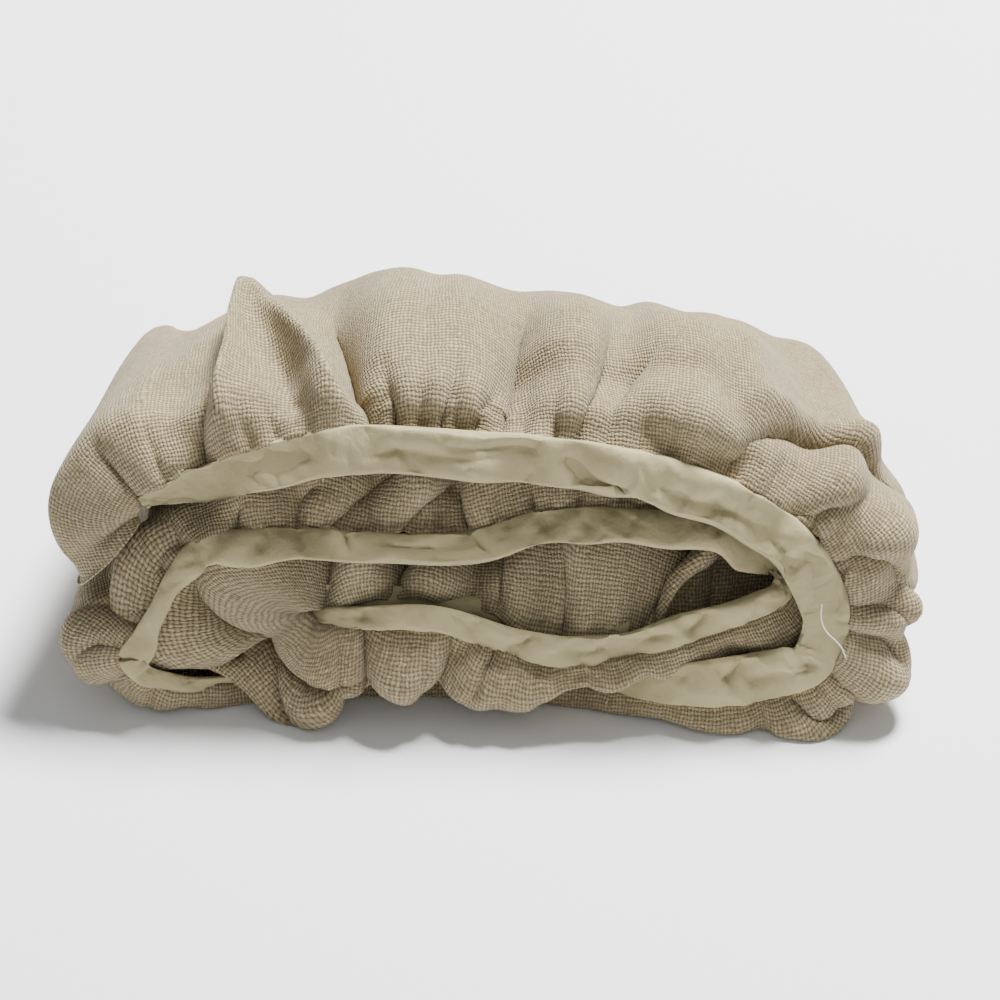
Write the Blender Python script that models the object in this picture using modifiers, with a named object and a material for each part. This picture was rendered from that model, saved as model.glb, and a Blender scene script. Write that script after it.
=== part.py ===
"""A gathered bed skirt, wound up for storage.

One long strip of coarse woven cloth is gathered along its upper edge and sewn to a
narrow casing band. The strip's drop is folded in half behind, and the whole length is
then wound up loosely, so that the band makes a flattened spiral on the front face and
the gathers of each turn puff out round it.

Run it in Blender 4.5. Metres, +Z up, the front face towards -Y, resting on z = 0.
"""
import math
import random
from collections import namedtuple

import bmesh
import bpy
import numpy as np

MM = 0.001

# ---------------------------------------------------------------- driving dimensions
CLOTH_THICKNESS = 2.4 * MM
BAND_THICKNESS = 3.0 * MM
SEAM_GAP = 1.0 * MM             # from the band's edge to the start of the cloth
FACE_LEAN = math.radians(20.0)  # how far the front face leans back
FLOOR_TO_FACE = 18.0 * MM       # height of the face's lower edge over the floor
LEAF_GAP = 10.0 * MM            # between the two leaves where they lie on the floor
BACK_GAP = 14.0 * MM            # between the two leaves just before the back fold
PLACE_X, PLACE_Y = -0.11 * MM, -109.60 * MM  # brings the middle of the base to the origin
BAND_STEP = 14.0 * MM
TURN_PER_SECTION = math.radians(24.0)
LESSER_SPACING = 22             # millimetres from one lesser fold to the next
LESSER_SEED = 5
PRESS_HEIGHT = 0.5 * MM          # what lies lower than this is pressed onto the floor

# The seam line that joins band and cloth, from the outer end inwards, clockwise.
# Millimetres on the leaning front face: across it, up it, and how far behind it.
Point = namedtuple("Point", "name across up behind")
ROUTE = [
    Point("side hem", -191, 100, 7),
    Point("outer end", -197, 106, 5),
    Point("outer end", -195, 115, 3),
    Point("top left", -174, 129, 2),
    Point("top left", -131, 149, 0),
    Point("top", -78, 162, 0),
    Point("top", -15, 160, 0),
    Point("top", 50, 154, 0),
    Point("top right", 104, 142, 0),
    Point("top right", 152, 121, 0),
    Point("right turn", 184, 91, 0),
    Point("right turn", 199, 52, 0),
    Point("right turn", 189, 18, 2),
    Point("bottom right", 158, 0, 4),
    Point("bottom right", 110, -3, 5),
    Point("bottom", 45, -7, 25),
    Point("bottom", -40, -10, 35),
    Point("bottom", -120, -9, 32),
    Point("bottom left", -176, 0, 13),
    Point("left turn", -206, 20, 6),
    Point("left turn", -202, 42, 4),
    Point("left turn", -186, 68, 6),
    Point("left turn", -167, 90, 10),
    Point("second top", -128, 96, 12),
    Point("second top", -65, 94, 12),
    Point("second top", -10, 95, 12),
    Point("second top", 28, 106, 12),
    Point("second top", 90, 104, 16),
    Point("inner turn", 150, 90, 20),
    Point("inner turn", 169, 79, 18),
    Point("inner turn", 174, 66, 16),
    Point("inner turn", 167, 54, 13),
    Point("inner turn", 150, 46, 10),
    Point("second bottom", 105, 31, 5),
    Point("second bottom", 58, 21, 2),
    Point("second bottom", 15, 26, 2),
    Point("second bottom", -30, 42, 3),
    Point("second bottom", -82, 42, 6),
    Point("core turn", -99, 43, 9),
    Point("core turn", -107, 51, 12),
    Point("core turn", -99, 59, 15),
    Point("core", -82, 60, 17),
    Point("core", -15, 54, 17),
    Point("core", 40, 44, 15),
    Point("core end", 84, 39, 14),
    Point("inner end", 98, 28, 16),
]

# How the doubled cloth leaves the seam, in millimetres off the seam line. It flares out
# to its first lobe, some way in front of the seam or behind it, draws in at the neck,
# crowns, and ends at the back fold. The gap is the room between its two leaves.
Drape = namedtuple("Drape", "along flare front neck crown back gap")
DRAPES = [
    Drape(0, 51, -6, 46, 36, 22, 20),
    Drape(20, 47, -2, 40, 27, 10, 18),
    Drape(40, 40, 2, 33, 21, -8, 16),
    Drape(90, 18, 4, 20, 19, -14, 12),
    Drape(150, 8, 6, 10, 17, -24, 14),
    Drape(270, 8, 6, 10, 16, -27, 14),
    Drape(340, 14, 4, 18, 21, -20, 14),
    Drape(395, 26, 2, 29, 26, -3, 12),
    Drape(460, 37, 0, 36, 30, 12, 10),
    Drape(512, 35, -6, 28, 23, 16, 10),
    Drape(560, 20, -4, 16, 15, 15, 10),
    Drape(650, 17, -2, 17, 18, 18, 10),
    Drape(870, 18, 0, 18, 19, 19, 10),
    Drape(915, 30, 2, 26, 22, 14, 10),
    Drape(938, 20, 3, 17, 15, 9, 10),
    Drape(1000, 15, 2, 13, 13, -2, 12),
    Drape(1060, 32, 2, 30, 30, 2, 18),
    Drape(1150, 34, 2, 31, 31, 0, 22),
    Drape(1250, 22, 4, 22, 26, -11, 20),
    Drape(1300, 16, 4, 15, 18, -4, 14),
    Drape(1345, 14, 4, 18, 28, 6, 10),
    Drape(1385, 20, 5, 19, 24, 26, 10),
    Drape(1425, 21, 6, 17, 20, 25, 10),
    Drape(1455, 8, 2, 8, 14, 20, 10),
    Drape(1480, 8, 0, 8, 14, 20, 10),
    Drape(1520, 33, -12, 12, 15, 22, 10),
    Drape(1570, 42, -12, 15, 17, 24, 10),
    Drape(1592, 46, -16, 16, 19, 26, 10),
    Drape(1618, 63, -18, 24, 28, 34, 10),
    Drape(1640, 60, -8, 48, 50, 42, 14),
    Drape(1648, 52, -6, 44, 50, 42, 14),
    Drape(1653, 28, -2, 26, 34, 28, 10),
    Drape(1658, 16, 0, 20, 24, 14, 10),
    Drape(1670, 16, -4, 18, 20, 3, 10),
    Drape(1750, 19, -2, 21, 32, 14, 12),
    Drape(1790, 44, -2, 40, 40, 16, 14),
    Drape(1865, 42, 0, 44, 50, 34, 14),
]

# The band's free edge, in millimetres from the seam line: inwards on the face, and
# towards the front.
Strip = namedtuple("Strip", "along inward forward")
STRIPS = [
    Strip(20, 7, 0),
    Strip(60, 22, 2),
    Strip(300, 27, 2),
    Strip(430, 25, 2),
    Strip(520, 22, 4),
    Strip(600, 14, 4),
    Strip(660, 9, 1),
    Strip(840, 9, 0),
    Strip(905, 10, 0),
    Strip(940, 13, 0),
    Strip(1000, 16, 4),
    Strip(1090, 14, 14),
    Strip(1290, 12, 12),
    Strip(1345, 6, 9),
    Strip(1370, 13, 4),
    Strip(1430, 19, 2),
    Strip(1520, 19, 2),
    Strip(1580, 12, 2),
    Strip(1620, 3, -6),
    Strip(1642, 0, -14),
    Strip(1665, 3, -6),
    Strip(1700, 12, 2),
    Strip(1841, 10, 2),
]
BAND_START, BAND_END = 22 * MM, 1835 * MM

# A loose end of white sewing thread that lies on the band at the right turn. Millimetres
# across the face and up it; it lies a little in front of the band.
ThreadPoint = namedtuple("ThreadPoint", "across up")
THREAD_ROUTE = [
    ThreadPoint(182, 64),
    ThreadPoint(182, 55),
    ThreadPoint(185, 48),
    ThreadPoint(190, 43),
    ThreadPoint(194, 38),
    ThreadPoint(196, 33),
]
THREAD_RADIUS = 0.35 * MM
THREAD_FRONT = 4.4 * MM         # from the face's plane to the middle of the thread
THREAD_POINTS = 16

# The longest section of the cloth's solid at distances along the seam. The bottom run,
# which the others cover, takes longer ones.
Step = namedtuple("Step", "along length")
STEPS = [
    Step(540, 9),
    Step(600, 22),
    Step(830, 22),
    Step(870, 10),
    Step(1860, 11),
]

# Main folds of the cloth. Along the seam, half width at the seam and at the back, height
# (a negative one is a valley), where it starts and ends behind the seam, and how far it
# drifts along the seam on the way. All in millimetres.
Fold = namedtuple("Fold", "along half half_back height start end drift")
FOLDS = [
    Fold(44, 9, 16, 10, 2, 120, -14),
    Fold(58, 8, 12, -13, 0, 170, 6),
    Fold(80, 12, 14, 21, 4, 220, 4),
    Fold(106, 9, 11, -8, 10, 150, -16),
    Fold(142, 9, 18, 15, 4, 220, -46),
    Fold(158, 12, 22, -9, 30, 190, 4),
    Fold(192, 34, 40, 12, 6, 220, 4),
    Fold(242, 9, 15, -11, 0, 180, 6),
    Fold(264, 14, 26, 9, 4, 220, 8),
    Fold(292, 9, 14, 10, 2, 90, 24),
    Fold(330, 22, 38, 13, 8, 220, 34),
    Fold(350, 9, 10, -15, 0, 130, 52),
    Fold(368, 12, 20, 13, 2, 130, 42),
    Fold(388, 8, 10, -10, 0, 100, 30),
    Fold(406, 10, 16, 10, 2, 110, 26),
    Fold(421, 8, 9, -10, 0, 80, 20),
    Fold(437, 9, 13, 12, 2, 90, 30),
    Fold(452, 7, 9, -12, 0, 70, 26),
    Fold(466, 8, 10, 12, 2, 60, 4),
    Fold(480, 7, 9, -10, 0, 70, 0),
    Fold(496, 9, 14, 10, 2, 100, -6),
    Fold(513, 7, 9, -8, 0, 80, -8),
    Fold(530, 10, 16, 8, 2, 120, -10),
    Fold(878, 10, 14, 8, 2, 90, 10),
    Fold(895, 8, 9, -9, 0, 60, 8),
    Fold(911, 9, 12, 10, 2, 90, 4),
    Fold(927, 8, 9, -9, 0, 60, 0),
    Fold(942, 9, 12, 9, 2, 80, -6),
    Fold(958, 8, 9, -7, 0, 60, -8),
    Fold(1020, 10, 14, 7, 2, 80, 0),
    Fold(1042, 8, 10, -8, 0, 60, 0),
    Fold(1062, 10, 14, 7, 2, 80, 12),
    Fold(1088, 8, 10, -7, 0, 60, 16),
    Fold(1112, 12, 14, 6, 2, 80, 20),
    Fold(1138, 8, 10, -8, 0, 60, 10),
    Fold(1158, 9, 12, 6, 2, 80, 0),
    Fold(1176, 8, 10, -6, 0, 60, 0),
    Fold(1532, 9, 12, 8, 2, 60, 0),
    Fold(1550, 8, 10, -6, 0, 60, 0),
    Fold(1572, 13, 15, 7, 2, 60, 0),
    Fold(1592, 8, 10, -10, 0, 60, 0),
    Fold(1612, 12, 14, 8, 2, 60, -4),
    Fold(1632, 8, 10, -9, 0, 60, 0),
    Fold(1648, 9, 12, 12, 2, 60, 0),
    Fold(1664, 8, 10, -8, 0, 60, 0),
    Fold(1682, 10, 12, 8, 2, 60, 0),
    Fold(1702, 8, 10, -8, 0, 60, 4),
    Fold(1724, 12, 14, 8, 2, 60, 0),
    Fold(1746, 8, 10, -8, 0, 60, 0),
    Fold(1764, 9, 12, 7, 2, 60, 0),
    Fold(1782, 8, 10, -8, 0, 60, 0),
    Fold(1806, 16, 18, 8, 2, 60, 6),
    Fold(1832, 8, 10, -8, 0, 60, 8),
]


def lesser_folds():
    """Small folds all along the cloth, spaced and sized by chance from a fixed seed."""
    chance = random.Random(LESSER_SEED)
    rows = []
    for place in range(12, 1850, LESSER_SPACING):
        rows.append(Fold(
            place + chance.uniform(-5, 5), 8, chance.uniform(10, 15),
            chance.choice([-1, 1]) * chance.uniform(2, 5), 4, 240, chance.uniform(-14, 14),
        ))
    return rows


def through(knots, values, places, slope):
    """Smooth curve with the given slopes through values at knots, read at places."""
    i = np.clip(np.searchsorted(knots, places) - 1, 0, len(knots) - 2)
    width = knots[i + 1] - knots[i]
    f = np.clip((places - knots[i]) / width, 0, 1)
    rise = values[i + 1] - values[i]
    low, high = slope[i] * width, slope[i + 1] * width
    return values[i] + f * (low + f * (3 * rise - 2 * low - high + f * (low + high - 2 * rise)))


def level_slopes(knots, values):
    """Slopes that keep a curve from running past the values it goes through."""
    steps = np.diff(values) / np.diff(knots)
    before, after = steps[:-1], steps[1:]
    same_way = before * after > 0
    mean = 2 * before * after / np.where(same_way, before + after, 1)
    return np.concatenate([[0], np.where(same_way, mean, 0), [0]])


def column(table, name):
    """One named column of a table, in metres."""
    return np.array([getattr(row, name) for row in table], float) * MM


def read(table, name, along):
    """A column of a table whose rows lie along the seam, read between its rows."""
    knots, values = column(table, "along"), column(table, name)
    return through(knots, values, along, level_slopes(knots, values))


def ease(value, low, high):
    """0 below low, 1 above high, smooth between."""
    f = np.clip((value - low) / (high - low), 0, 1)
    return f * f * (3 - 2 * f)


def route_knots():
    """Distance along the seam at each point of the route."""
    places = np.stack([column(ROUTE, "across"), column(ROUTE, "up")])
    return np.concatenate([[0], np.cumsum(np.hypot(*np.diff(places)))])


def seam(along):
    """Seam line: its place on the face and behind it, and the outward direction there."""
    knots = route_knots()

    def place(name, where):
        values = column(ROUTE, name)
        return through(knots, values, where, np.gradient(values, knots))

    ahead = np.minimum(along + 1 * MM, knots[-1])
    back = np.maximum(along - 1 * MM, 0)
    run = [place(name, ahead) - place(name, back) for name in ("across", "up")]
    length = np.hypot(*run)
    spot = [place(name, along) for name in ("across", "up", "behind")]
    return spot, (-run[1] / length, run[0] / length)


def on_face(across, up, behind):
    """World place of a point given on the leaning face and behind it."""
    return np.stack([
        across + PLACE_X,
        up * math.sin(FACE_LEAN) + behind + PLACE_Y,
        up * math.cos(FACE_LEAN) + FLOOR_TO_FACE,
    ], axis=-1)


# The outer leaf's row that each row of the section lies under, or is.
OUTER_ROW = np.array([0, 1, 2, 3, 4, 5, 6, 6, 6, 5, 4, 4])


def section(along):
    """The doubled cloth from the seam to the back fold and forward again to the hem.

    Gives, row by row, how far it lies outwards from the seam line and behind it, its
    distance from the seam for the folds, and the share of the folds' height it takes.
    """
    flare, front, neck, crown, back, gap = (
        read(DRAPES, name, along) for name in Drape._fields[1:]
    )
    middle = crown + 0.45 * (back - crown)
    none = np.zeros_like(along)
    inward, forward = (read(STRIPS, name, along) for name in ("inward", "forward"))
    edge_on = np.abs(forward) / np.hypot(inward, forward)
    rows = [
        (SEAM_GAP + edge_on * BAND_THICKNESS, none, 0, 0.0),
        (0.55 * flare, front, 12, 0.8),
        (flare, 0.5 * front + 11 * MM, 26, 1.0),
        (neck, none + 31 * MM, 42, 1.0),
        (crown, none + 78 * MM, 86, 1.0),
        (middle, none + 132 * MM, 142, 0.9),
        (back + 2 * MM, none + 170 * MM, 182, 0.7),
        (back - BACK_GAP / 2, none + 181 * MM, 190, 0.7),
        (back - BACK_GAP, none + 168 * MM, 182, 0.7),
        (middle - gap, none + 128 * MM, 142, 0.9),
        (crown - gap, none + 80 * MM, 86, 1.0),
        ((neck + crown) / 2 - 1.3 * gap, none + 56 * MM, 64, 1.0),
    ]
    outward, behind, distance, share = zip(*rows)
    return np.stack(outward), np.stack(behind), np.array(distance) * MM, np.array(share)


def fold_height(along, distance):
    """Height of the folds at places along the seam and distances behind it."""
    height = np.zeros(np.broadcast(along, distance).shape)
    for fold in FOLDS + lesser_folds():
        far = np.clip(distance / (190 * MM), 0, 1)
        half = (fold.half + (fold.half_back - fold.half) * far) * MM
        aside = (along - (fold.along + fold.drift * far) * MM) / half
        ridge = np.exp(-aside * aside)
        length = ease(distance, (fold.start - 2) * MM, (fold.start + 14) * MM)
        length *= 1 - ease(distance, (fold.end - 50) * MM, fold.end * MM)
        height += fold.height * MM * ridge * length
    return height


def cloth_grid(along):
    """World places of the sheet's middle surface, one row of points for each section row."""
    (across, up, behind), (out_x, out_y) = seam(along)
    outward, back, distance, share = section(along)
    lift = fold_height(along[None, :], distance[:, None]) * share[:, None]
    flat = on_face(across + outward * out_x, up + outward * out_y, behind + back)
    normal = np.cross(np.gradient(flat, axis=1), np.gradient(flat, axis=0))
    normal /= np.linalg.norm(normal, axis=-1, keepdims=True)
    outer_row = OUTER_ROW[:, None, None]
    direction = np.take_along_axis(normal, np.broadcast_to(outer_row, normal.shape), axis=0)
    grid = flat + direction * lift[..., None]
    floor = CLOTH_THICKNESS / 2 + LEAF_GAP * ease(np.arange(len(distance)), 6, 8)
    grid[..., 2] = np.maximum(grid[..., 2], floor[:, None])
    return grid


def sheet_mesh(name, grid, thickness):
    """A mesh sheet on the grid, given its thickness and a flat place on the floor."""
    rows, columns = grid.shape[:2]
    mesh = bmesh.new()
    verts = [[mesh.verts.new(point) for point in row] for row in grid]
    for i in range(rows - 1):
        for j in range(columns - 1):
            mesh.faces.new((verts[i][j], verts[i][j + 1], verts[i + 1][j + 1], verts[i + 1][j]))
    data = bpy.data.meshes.new(name)
    mesh.to_mesh(data)
    mesh.free()
    piece = bpy.data.objects.new(name, data)
    return piece


def material(name, colour, roughness):
    """A plain cloth material."""
    made = bpy.data.materials.new(name)
    made.use_nodes = True
    shader = made.node_tree.nodes["Principled BSDF"]
    shader.inputs["Base Color"].default_value = (*colour, 1.0)
    shader.inputs["Roughness"].default_value = roughness
    shader.inputs["Metallic"].default_value = 0.0
    return made


def settle(piece):
    """Apply the modifiers, then press what lies within a hair of the floor flat onto it."""
    made = bpy.data.meshes.new_from_object(
        piece.evaluated_get(bpy.context.evaluated_depsgraph_get()))
    piece.modifiers.clear()
    piece.data = made
    for vert in made.vertices:
        if vert.co.z < PRESS_HEIGHT:
            vert.co.z = 0.0


def section_places(start, end, longest):
    """Places along the seam for sections: evenly apart, and closer where it turns."""
    along = np.arange(start, end, 1 * MM)
    _, (out_x, out_y) = seam(along)
    turned = np.abs(np.diff(np.unwrap(np.arctan2(out_y, out_x))))
    steps = np.diff(along) / np.interp(along[1:], *longest) + turned / TURN_PER_SECTION
    count = np.concatenate([[0], np.cumsum(steps)])
    return np.interp(np.linspace(0, count[-1], round(count[-1])), count, along)


def cloth_places():
    """Places along the seam of the cloth's sections, from end to end."""
    longest = (column(STEPS, "along"), column(STEPS, "length"))
    return section_places(0.0, route_knots()[-1], longest)


def band_places():
    """Places along the seam of the band's sections."""
    return section_places(BAND_START, BAND_END, ([0, 1], [BAND_STEP, BAND_STEP]))


def make_cloth(home):
    """The gathered cloth: one thin sheet, doubled and wound up."""
    along = cloth_places()
    cloth = sheet_mesh("skirt", cloth_grid(along), CLOTH_THICKNESS)
    home.objects.link(cloth)
    thicken = cloth.modifiers.new("thickness", "SOLIDIFY")
    thicken.thickness = CLOTH_THICKNESS
    thicken.offset = 0.0
    bpy.context.view_layer.update()
    settle(cloth)
    cloth.data.materials.append(material("coarse_linen", (0.56, 0.49, 0.38), 0.9))
    return cloth


def band_rings(along):
    """Cross sections of the flat casing band, as rounded strips along the seam line."""
    (across, up, behind), (out_x, out_y) = seam(along)
    inward, forward = (read(STRIPS, name, along) for name in ("inward", "forward"))
    edge = on_face(across, up, behind)
    free = on_face(across - inward * out_x, up - inward * out_y, behind - forward)
    return edge, free


def make_band(home):
    """The casing band: a flat tube of plain cotton along the seam."""
    along = band_places()
    edge, free = band_rings(along)
    run = np.gradient((edge + free) / 2, axis=0)
    width = free - edge
    face = np.cross(run, width)
    face /= np.linalg.norm(face, axis=-1, keepdims=True)
    above = [(0.0, 0.0), (0.06, 0.5), (0.5, 0.62), (0.94, 0.5)]
    ring = above + [(1.0 - share, -high) for share, high in above]
    mesh = bmesh.new()
    loops = []
    for j in range(len(along)):
        loops.append([
            mesh.verts.new(edge[j] + width[j] * share + face[j] * BAND_THICKNESS * high)
            for share, high in ring
        ])
    for one, two in zip(loops, loops[1:]):
        for k in range(len(ring)):
            n = (k + 1) % len(ring)
            mesh.faces.new((one[k], one[n], two[n], two[k]))
    mesh.faces.new(loops[0][::-1])
    mesh.faces.new(loops[-1])
    bmesh.ops.recalc_face_normals(mesh, faces=mesh.faces)
    data = bpy.data.meshes.new("band")
    mesh.to_mesh(data)
    mesh.free()
    band = bpy.data.objects.new("band", data)
    home.objects.link(band)
    band.data.materials.append(material("plain_cotton", (0.60, 0.56, 0.42), 0.85))
    return band


def make_thread(home):
    """The loose thread end: a thin round tube on a smooth route."""
    across, up = column(THREAD_ROUTE, "across"), column(THREAD_ROUTE, "up")
    knots = np.concatenate([[0], np.cumsum(np.hypot(np.diff(across), np.diff(up)))])
    places = np.linspace(0, knots[-1], THREAD_POINTS)
    smooth = [through(knots, line, places, np.gradient(line, knots)) for line in (across, up)]
    points = on_face(*smooth, np.full(THREAD_POINTS, -THREAD_FRONT))
    curve = bpy.data.curves.new("loose_thread", "CURVE")
    curve.dimensions = "3D"
    curve.bevel_depth = THREAD_RADIUS
    curve.bevel_resolution = 2
    curve.use_fill_caps = True
    spline = curve.splines.new("POLY")
    spline.points.add(THREAD_POINTS - 1)
    for point, place in zip(spline.points, points):
        point.co = (*place, 1.0)
    thread = bpy.data.objects.new("loose_thread", curve)
    home.objects.link(thread)
    curve.materials.append(material("white_thread", (0.80, 0.79, 0.74), 0.6))
    return thread


def main():
    for thing in list(bpy.data.objects):
        bpy.data.objects.remove(thing)
    home = bpy.data.collections.new("bed_skirt")
    bpy.context.scene.collection.children.link(home)
    make_cloth(home)
    make_band(home)
    make_thread(home)


main()
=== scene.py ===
# %% [markdown]
# # A gathered bed skirt, wound up for storage
#
# One long strip of coarse, open cloth is gathered along its upper edge and sewn to a
# narrow casing band. The strip's drop is doubled back behind, and the whole length is
# wound up loosely. Seen from the front, the band makes a flattened spiral, and the cloth
# puffs out round every turn of it.
#
# The frame below holds the solids that the simulation uses. Each piece made here stands
# for one of them, in the same place and at the same size, with the finer folds, creases,
# weave and stitches that a solid can't carry.

import math
import random
from collections import namedtuple

import bmesh
import bpy
import numpy as np
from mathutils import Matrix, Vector


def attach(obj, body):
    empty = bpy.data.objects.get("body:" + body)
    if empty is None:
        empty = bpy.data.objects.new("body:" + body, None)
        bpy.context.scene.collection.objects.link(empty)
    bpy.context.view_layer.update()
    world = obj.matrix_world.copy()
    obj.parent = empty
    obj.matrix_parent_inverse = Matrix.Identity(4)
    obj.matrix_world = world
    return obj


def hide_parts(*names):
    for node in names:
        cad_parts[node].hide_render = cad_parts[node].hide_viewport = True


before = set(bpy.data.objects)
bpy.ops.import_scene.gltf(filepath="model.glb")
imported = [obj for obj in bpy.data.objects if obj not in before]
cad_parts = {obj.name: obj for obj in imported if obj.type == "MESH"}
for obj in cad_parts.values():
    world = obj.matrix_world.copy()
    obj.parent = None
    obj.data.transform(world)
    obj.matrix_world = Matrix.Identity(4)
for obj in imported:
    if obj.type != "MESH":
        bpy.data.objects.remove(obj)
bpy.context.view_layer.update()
bpy.ops.object.select_all(action="DESELECT")
MM = 0.001
print("solids:", ", ".join(sorted(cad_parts)))

# %% [markdown]
# ## Curves through a table
#
# Folds look natural when they swell and fade smoothly. Each shape here is given by a
# short table with named columns, and these helpers draw a smooth curve through its rows.
# A Bezier curve drawn by hand would do as well. A table is easier to read and to correct.

# %% Helpers for tables and smooth curves


def through(knots, values, places, slope):
    """Smooth curve with the given slopes through values at knots, read at places."""
    i = np.clip(np.searchsorted(knots, places) - 1, 0, len(knots) - 2)
    width = knots[i + 1] - knots[i]
    f = np.clip((places - knots[i]) / width, 0, 1)
    rise = values[i + 1] - values[i]
    low, high = slope[i] * width, slope[i + 1] * width
    return values[i] + f * (low + f * (3 * rise - 2 * low - high + f * (low + high - 2 * rise)))


def level_slopes(knots, values):
    """Slopes that keep a curve from running past the values it goes through."""
    steps = np.diff(values) / np.diff(knots)
    before, after = steps[:-1], steps[1:]
    same_way = before * after > 0
    mean = 2 * before * after / np.where(same_way, before + after, 1)
    return np.concatenate([[0], np.where(same_way, mean, 0), [0]])


def column(table, name):
    """One named column of a table, in metres."""
    return np.array([getattr(row, name) for row in table], float) * MM


def read(table, name, along):
    """A column of a table whose rows lie along the seam, read between its rows."""
    knots, values = column(table, "along"), column(table, name)
    return through(knots, values, along, level_slopes(knots, values))


def ease(value, low, high):
    """0 below low, 1 above high, smooth between."""
    f = np.clip((value - low) / (high - low), 0, 1)
    return f * f * (3 - 2 * f)


print("a tenth of the way along, an eased step has risen by", round(float(ease(0.1, 0, 1)), 3))

# %% [markdown]
# ## The seam line
#
# The seam joins the band and the cloth. It is the one line that the whole bundle follows:
# from the side hem at the upper left, over the top, round the right end, back along the
# floor, up the left end, and then inwards. It lies on a face that leans back a little.

# %% The seam line, from its outer end inwards
FACE_LEAN = math.radians(20.0)
FLOOR_TO_FACE = 18.0 * MM
PLACE_X, PLACE_Y = -0.11 * MM, -109.60 * MM

# Millimetres across the face, up it, and how far behind it.
Point = namedtuple("Point", "name across up behind")
ROUTE = [
    Point("side hem", -191, 100, 7),
    Point("outer end", -197, 106, 5),
    Point("outer end", -195, 115, 3),
    Point("top left", -174, 129, 2),
    Point("top left", -131, 149, 0),
    Point("top", -78, 162, 0),
    Point("top", -15, 160, 0),
    Point("top", 50, 154, 0),
    Point("top right", 104, 142, 0),
    Point("top right", 152, 121, 0),
    Point("right turn", 184, 91, 0),
    Point("right turn", 199, 52, 0),
    Point("right turn", 189, 18, 2),
    Point("bottom right", 158, 0, 4),
    Point("bottom right", 110, -3, 5),
    Point("bottom", 45, -7, 25),
    Point("bottom", -40, -10, 35),
    Point("bottom", -120, -9, 32),
    Point("bottom left", -176, 0, 13),
    Point("left turn", -199, 11, 7),
    Point("left turn", -206, 26, 5),
    Point("left turn", -197, 41, 4),
    Point("left turn", -187, 57, 5),
    Point("left turn", -179, 73, 6),
    Point("left turn", -166, 89, 10),
    Point("second top", -128, 96, 12),
    Point("second top", -65, 94, 12),
    Point("second top", -10, 95, 12),
    Point("second top", 28, 106, 12),
    Point("second top", 90, 104, 16),
    Point("inner turn", 150, 90, 20),
    Point("inner turn", 169, 79, 18),
    Point("inner turn", 174, 66, 16),
    Point("inner turn", 167, 54, 13),
    Point("inner turn", 150, 46, 10),
    Point("second bottom", 105, 31, 5),
    Point("second bottom", 58, 21, 2),
    Point("second bottom", 15, 26, 2),
    Point("second bottom", -30, 42, 3),
    Point("second bottom", -82, 42, 6),
    Point("core turn", -99, 43, 9),
    Point("core turn", -107, 51, 12),
    Point("core turn", -99, 59, 15),
    Point("core", -82, 60, 17),
    Point("core", -15, 54, 17),
    Point("core", 40, 44, 15),
    Point("core end", 84, 39, 14),
    Point("inner end", 98, 28, 16),
    Point("inner end", 120, 22, 24),
    Point("inner end", 158, 18, 33),
]
print(f"the route has {len(ROUTE)} points, from the {ROUTE[0].name} to the {ROUTE[-1].name}")

# %% [markdown]
# ### Following the seam
#
# Everything else is placed by its distance along the seam, so the route is read as a
# smooth curve. Beside each place it gives the direction that points out of the bundle
# there, which is square to the seam on the leaning face.

# %% Follow the seam


def route_knots():
    """Distance along the seam at each point of the route."""
    places = np.stack([column(ROUTE, "across"), column(ROUTE, "up")])
    return np.concatenate([[0], np.cumsum(np.hypot(*np.diff(places)))])


SEAM_LENGTH = route_knots()[-1]


def seam(along):
    """Seam line: its place on the face and behind it, and the outward direction there."""
    knots = route_knots()

    def place(name, where):
        values = column(ROUTE, name)
        return through(knots, values, where, np.gradient(values, knots))

    ahead = np.minimum(along + 1 * MM, knots[-1])
    back = np.maximum(along - 1 * MM, 0)
    run = [place(name, ahead) - place(name, back) for name in ("across", "up")]
    length = np.hypot(*run)
    spot = [place(name, along) for name in ("across", "up", "behind")]
    return spot, (-run[1] / length, run[0] / length)


def on_face(across, up, behind):
    """World place of a point given on the leaning face and behind it."""
    return np.stack([
        across + PLACE_X,
        up * math.sin(FACE_LEAN) + behind + PLACE_Y,
        up * math.cos(FACE_LEAN) + FLOOR_TO_FACE,
    ], axis=-1)


print(f"the seam is {SEAM_LENGTH:.2f} m long")

# %% [markdown]
# ## The camera
#
# The bundle is seen from a little above and straight from the front, through a long lens,
# so that its two ends look about the same size. The camera is made early: where it looks
# decides how much care each fold needs.

# %% Add the camera
CAMERA_HEIGHT_ANGLE = math.radians(38.0)
CAMERA_DISTANCE = 1.9
FRAME_WIDTH = 1.0 / 1.8          # metres across the view at the foot of the face
AIM_RIGHT, AIM_UP = FRAME_WIDTH * 0.010, FRAME_WIDTH * 0.205
SENSOR_WIDTH = 36.0

bpy.ops.object.camera_add()
camera = bpy.context.object
camera.name = "camera"
camera.data.sensor_width = SENSOR_WIDTH
camera.data.lens = SENSOR_WIDTH * CAMERA_DISTANCE / FRAME_WIDTH
look = Vector((0, math.cos(CAMERA_HEIGHT_ANGLE), -math.sin(CAMERA_HEIGHT_ANGLE)))
camera_up = Vector((1, 0, 0)).cross(look)
foot = Vector((PLACE_X, PLACE_Y, FLOOR_TO_FACE))
aim = foot + Vector((AIM_RIGHT, 0, 0)) + camera_up * AIM_UP
camera.location = aim - look * CAMERA_DISTANCE
camera.rotation_euler = look.to_track_quat("-Z", "Y").to_euler()
bpy.context.scene.camera = camera
print(f"camera with a {camera.data.lens:.0f} mm lens, {CAMERA_DISTANCE} m away")

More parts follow.
